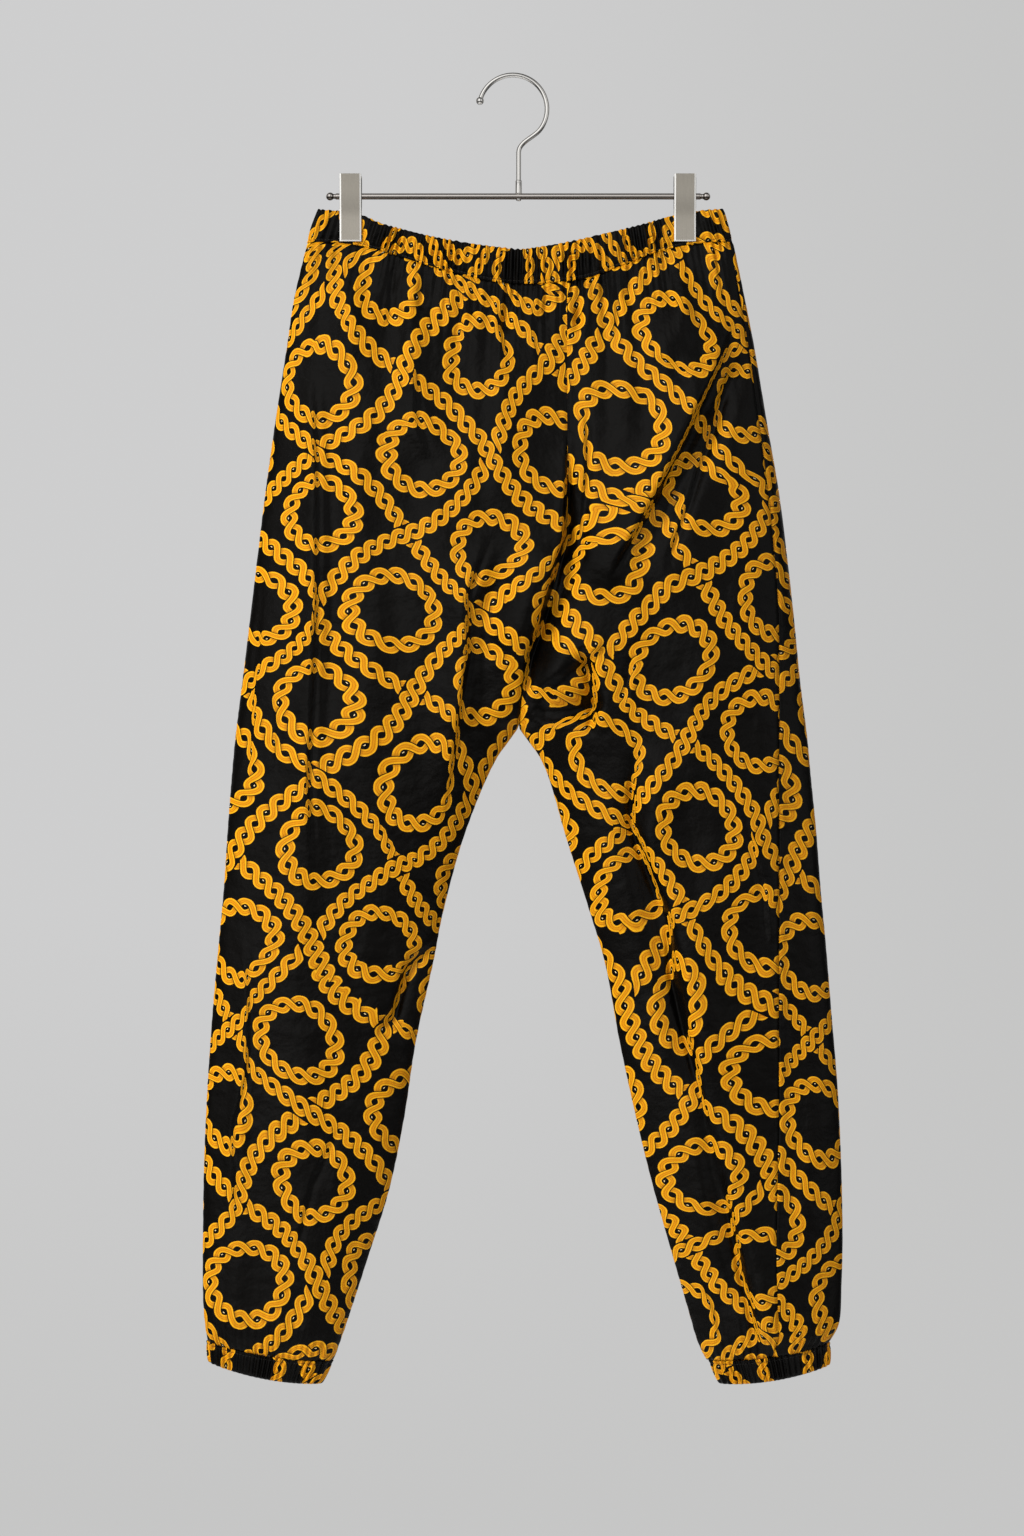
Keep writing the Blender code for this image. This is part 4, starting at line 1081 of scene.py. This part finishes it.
# The ears' near-black steel is painted shade: it stands in for the shadow they sit in beside the plates.
ear_painted_shade_steel = brushed_steel("plate ear painted shade steel", (0.17, 0.157, 0.145), (0.10, 0.092, 0.085), 0.35,
                          (300.0, 300.0, 60.0))
spring_steel = brushed_steel("spring steel", (0.50, 0.49, 0.47), (0.34, 0.33, 0.32), 0.3,
                             (700.0, 700.0, 700.0))


def soften(shape, edges, width, steps):
    bmesh.ops.bevel(shape, geom=edges, offset=width, offset_type="OFFSET", segments=steps, profile=0.5,
                    affect="EDGES", material=-1)


def clip_plate(centre_x, face):
    """A plate drawn across the clip's width from its bent side line. It gets its thickness, a border that
    falls away a little along its sides and its jaw, and two ears."""
    plate = bmesh.new()
    line = [plate.verts.new((centre_x - CLIP_WIDTH / 2.0, face * y, z)) for y, z in CLIP_BENDS]
    edges = [plate.edges.new(pair) for pair in zip(line, line[1:])]
    for width in (CLIP_BORDER, CLIP_WIDTH - 2.0 * CLIP_BORDER, CLIP_BORDER):
        drawn = bmesh.ops.extrude_edge_only(plate, edges=edges)["geom"]
        moved = {item for item in drawn if isinstance(item, bmesh.types.BMVert)}
        edges = [item for item in drawn if isinstance(item, bmesh.types.BMEdge) and set(item.verts) <= moved]
        bmesh.ops.translate(plate, verts=list(moved), vec=(width, 0.0, 0.0))
    bmesh.ops.recalc_face_normals(plate, faces=plate.faces[:])
    if plate.faces[0].normal.y * face < 0.0:
        bmesh.ops.reverse_faces(plate, faces=plate.faces[:])
    bmesh.ops.solidify(plate, geom=plate.faces[:], thickness=-CLIP_PLATE)
    bmesh.ops.recalc_face_normals(plate, faces=plate.faces[:])
    lowest = min(vert.co.z for vert in plate.verts)
    outer = [each for each in plate.faces if each.normal.y * face > 0.8]
    rim = {vert for each in outer for vert in each.verts
           if abs(abs(vert.co.x - centre_x) - CLIP_WIDTH / 2.0) < 0.01 or vert.co.z < lowest + 0.01}
    # The border faces take the painted highlight steel.
    for each in outer:
        if rim & set(each.verts):
            each.material_index = 1
    bmesh.ops.translate(plate, verts=list(rim), vec=(0.0, -face * CLIP_FALL, 0.0))
    soften(plate, [edge for edge in plate.edges if len(edge.link_faces) == 2
                   and edge.calc_face_angle(0.0) > math.radians(40.0)], 0.16, 2)
    for side in (-1.0, 1.0):
        ear = bmesh.ops.create_cube(plate, size=1.0)["verts"]
        bmesh.ops.scale(plate, verts=ear, vec=EAR)
        bmesh.ops.translate(plate, verts=ear, vec=(
            centre_x + side * (CLIP_WIDTH / 2.0 - EAR_INSETS[face]), face * EAR[1] / 4.0, BAR_HEIGHT + 2.2))
        for vert in ear:
            bent = np.interp(-vert.co.z, [-z for y, z in CLIP_BENDS], [y for y, z in CLIP_BENDS])
            if vert.co.y * face > 0.0:
                vert.co.y = face * (bent + CLIP_PLATE / 3.0)
            elif face == FRONT:
                vert.co.y = bent - 0.3
        # The ears take the painted shade steel.
        for each in {each for vert in ear for each in vert.link_faces}:
            each.material_index = 2
        soften(plate, [edge for edge in {edge for vert in ear for edge in vert.link_edges}
                       if abs((edge.verts[0].co - edge.verts[1].co).x) > 0.1
                       and edge.verts[0].co.y * face < 0.0], 4.0, 5)
    return plate


for side, centre_x in CLIP_CENTRES:
    clip = "clip_" + side
    for word, face in (("_front", FRONT), ("_back", BACK)):
        plate = small_piece(clip + word + "_plate", clip_plate(centre_x, face),
                            (plate_steel, edge_painted_highlight_steel, ear_painted_shade_steel), "clip_plate", clip + word)
        plate.data.set_sharp_from_angle(angle=math.radians(9.0))
    # The coil's two ends reach up to the plates.
    coil = [Vector((centre_x - 7.2, -5.6, -97.0)), Vector((centre_x - 6.6, -4.9, -100.0))]
    for step in range(COIL_TURNS * 24 + 1):
        angle = 2.0 * math.pi * step / 24
        coil.append(Vector((
            centre_x + COIL_HALF * (2.0 * step / (COIL_TURNS * 24) - 1.0),
            -COIL_RADIUS * math.cos(angle), BAR_HEIGHT - COIL_RADIUS * math.sin(angle))))
    coil += [Vector((centre_x + 6.6, 4.9, -100.0)), Vector((centre_x + 7.2, 5.6, -97.0))]
    spring = bent_wire(clip + "_spring", coil, COIL_WIRE)
    small_piece(clip + "_spring_coil", spring, (spring_steel,), "clip_spring", clip + "_spring")

# The stage: a round pale floor well below the hem that fades out at its rim, a plain grey studio all round,
# soft light from a wide lamp on the front left and a weaker one on the right, and a long camera lens.
scene = bpy.context.scene
scene.view_settings.view_transform = "Standard"
FLOOR_HEIGHT = -1.85
FLOOR_RADIUS = 2.4
disc = bmesh.new()
bmesh.ops.create_circle(disc, cap_ends=True, segments=96, radius=FLOOR_RADIUS,
                        matrix=Matrix.Translation((0.0, 0.0, FLOOR_HEIGHT)))
pale, tree, shader = new_finish("pale floor")
spot = add_node(tree, "TexCoord")["Object"]
x, y = parts(spot)[:2]
feed(shader, {
    "Base Color": blend(noise(spot, 6.0)["Fac"], (0.60, 0.60, 0.595), (0.64, 0.64, 0.635)),
    "Roughness": 0.8,
    "Alpha": ((FLOOR_RADIUS - maths("SQRT", x * x + y * y)) * 0.8).clamped(),
})
stand("floor", disc, pale)

if scene.world is None:
    scene.world = bpy.data.worlds.new("studio")
scene.world.use_nodes = True
tree = scene.world.node_tree
x, y, z = parts(add_node(tree, "TexCoord")["Generated"])
to_right = ((x + 0.03) * 5.9).clamped()
to_floor = ((-0.04 - z) * 6.0).clamped()
seen = blend((1.0 - to_right) * (1.0 - to_floor), (0.565, 0.565, 0.562), (0.618, 0.618, 0.62))
ahead = ((-0.1 - y) * 1.6).clamped()
behind = ((y - 0.1) * 1.6).clamped()
upper = ((z + 0.28) * 5.0).clamped() * ((0.93 - z) * 4.0).clamped()
WINDOW_REACH = 0.62
sideways = maths("MAXIMUM", maths("MINIMUM", x, WINDOW_REACH), -WINDOW_REACH)
from_left = maths("SINE", sideways * (math.pi / WINDOW_REACH)) * -0.5 + 0.5
window = blend(from_left, (0.31, 0.308, 0.302), (1.35, 1.34, 1.32))
around = blend(upper * (behind * 0.55 + ahead), (0.07, 0.07, 0.07), window)
to_camera = add_node(tree, "LightPath")["Is Camera Ray"]
feed(tree.nodes["Background"].inputs, {"Color": blend(to_camera, around, seen), "Strength": 1.0})


def soft_light(name, place, width, height, power):
    """A wide lamp that looks at the middle of the garment."""
    lamp = bpy.data.lights.new(name, "AREA")
    lamp.shape = "RECTANGLE"
    lamp.size = width
    lamp.size_y = height
    lamp.energy = power
    light = bpy.data.objects.new(name, lamp)
    bpy.context.collection.objects.link(light)
    light.location = place
    light.visible_glossy = False
    light.rotation_euler = (Vector((0.0, 0.0, -0.6)) - Vector(place)).to_track_quat("-Z", "Y").to_euler()


soft_light("key light", (-2.4, -1.8, 0.6), 0.9, 1.8, 118.0)
soft_light("fill light", (2.4, -2.8, -0.2), 1.0, 2.0, 8.0)
soft_light("back light", (1.6, 3.2, 0.6), 1.4, 2.2, 165.0)

# The picture's height takes in this many metres at the garment.
PICTURE_HEIGHT = 1.3363
LENS = 80.0
SENSOR = 36.0
camera_data = bpy.data.cameras.new("camera")
camera_data.lens = LENS
camera_data.sensor_width = SENSOR
camera = bpy.data.objects.new("camera", camera_data)
bpy.context.collection.objects.link(camera)
camera.location = (-0.0017, -PICTURE_HEIGHT * LENS / SENSOR, -0.6009)
camera.rotation_euler = (math.radians(90.0), 0.0, 0.0)
scene.camera = camera
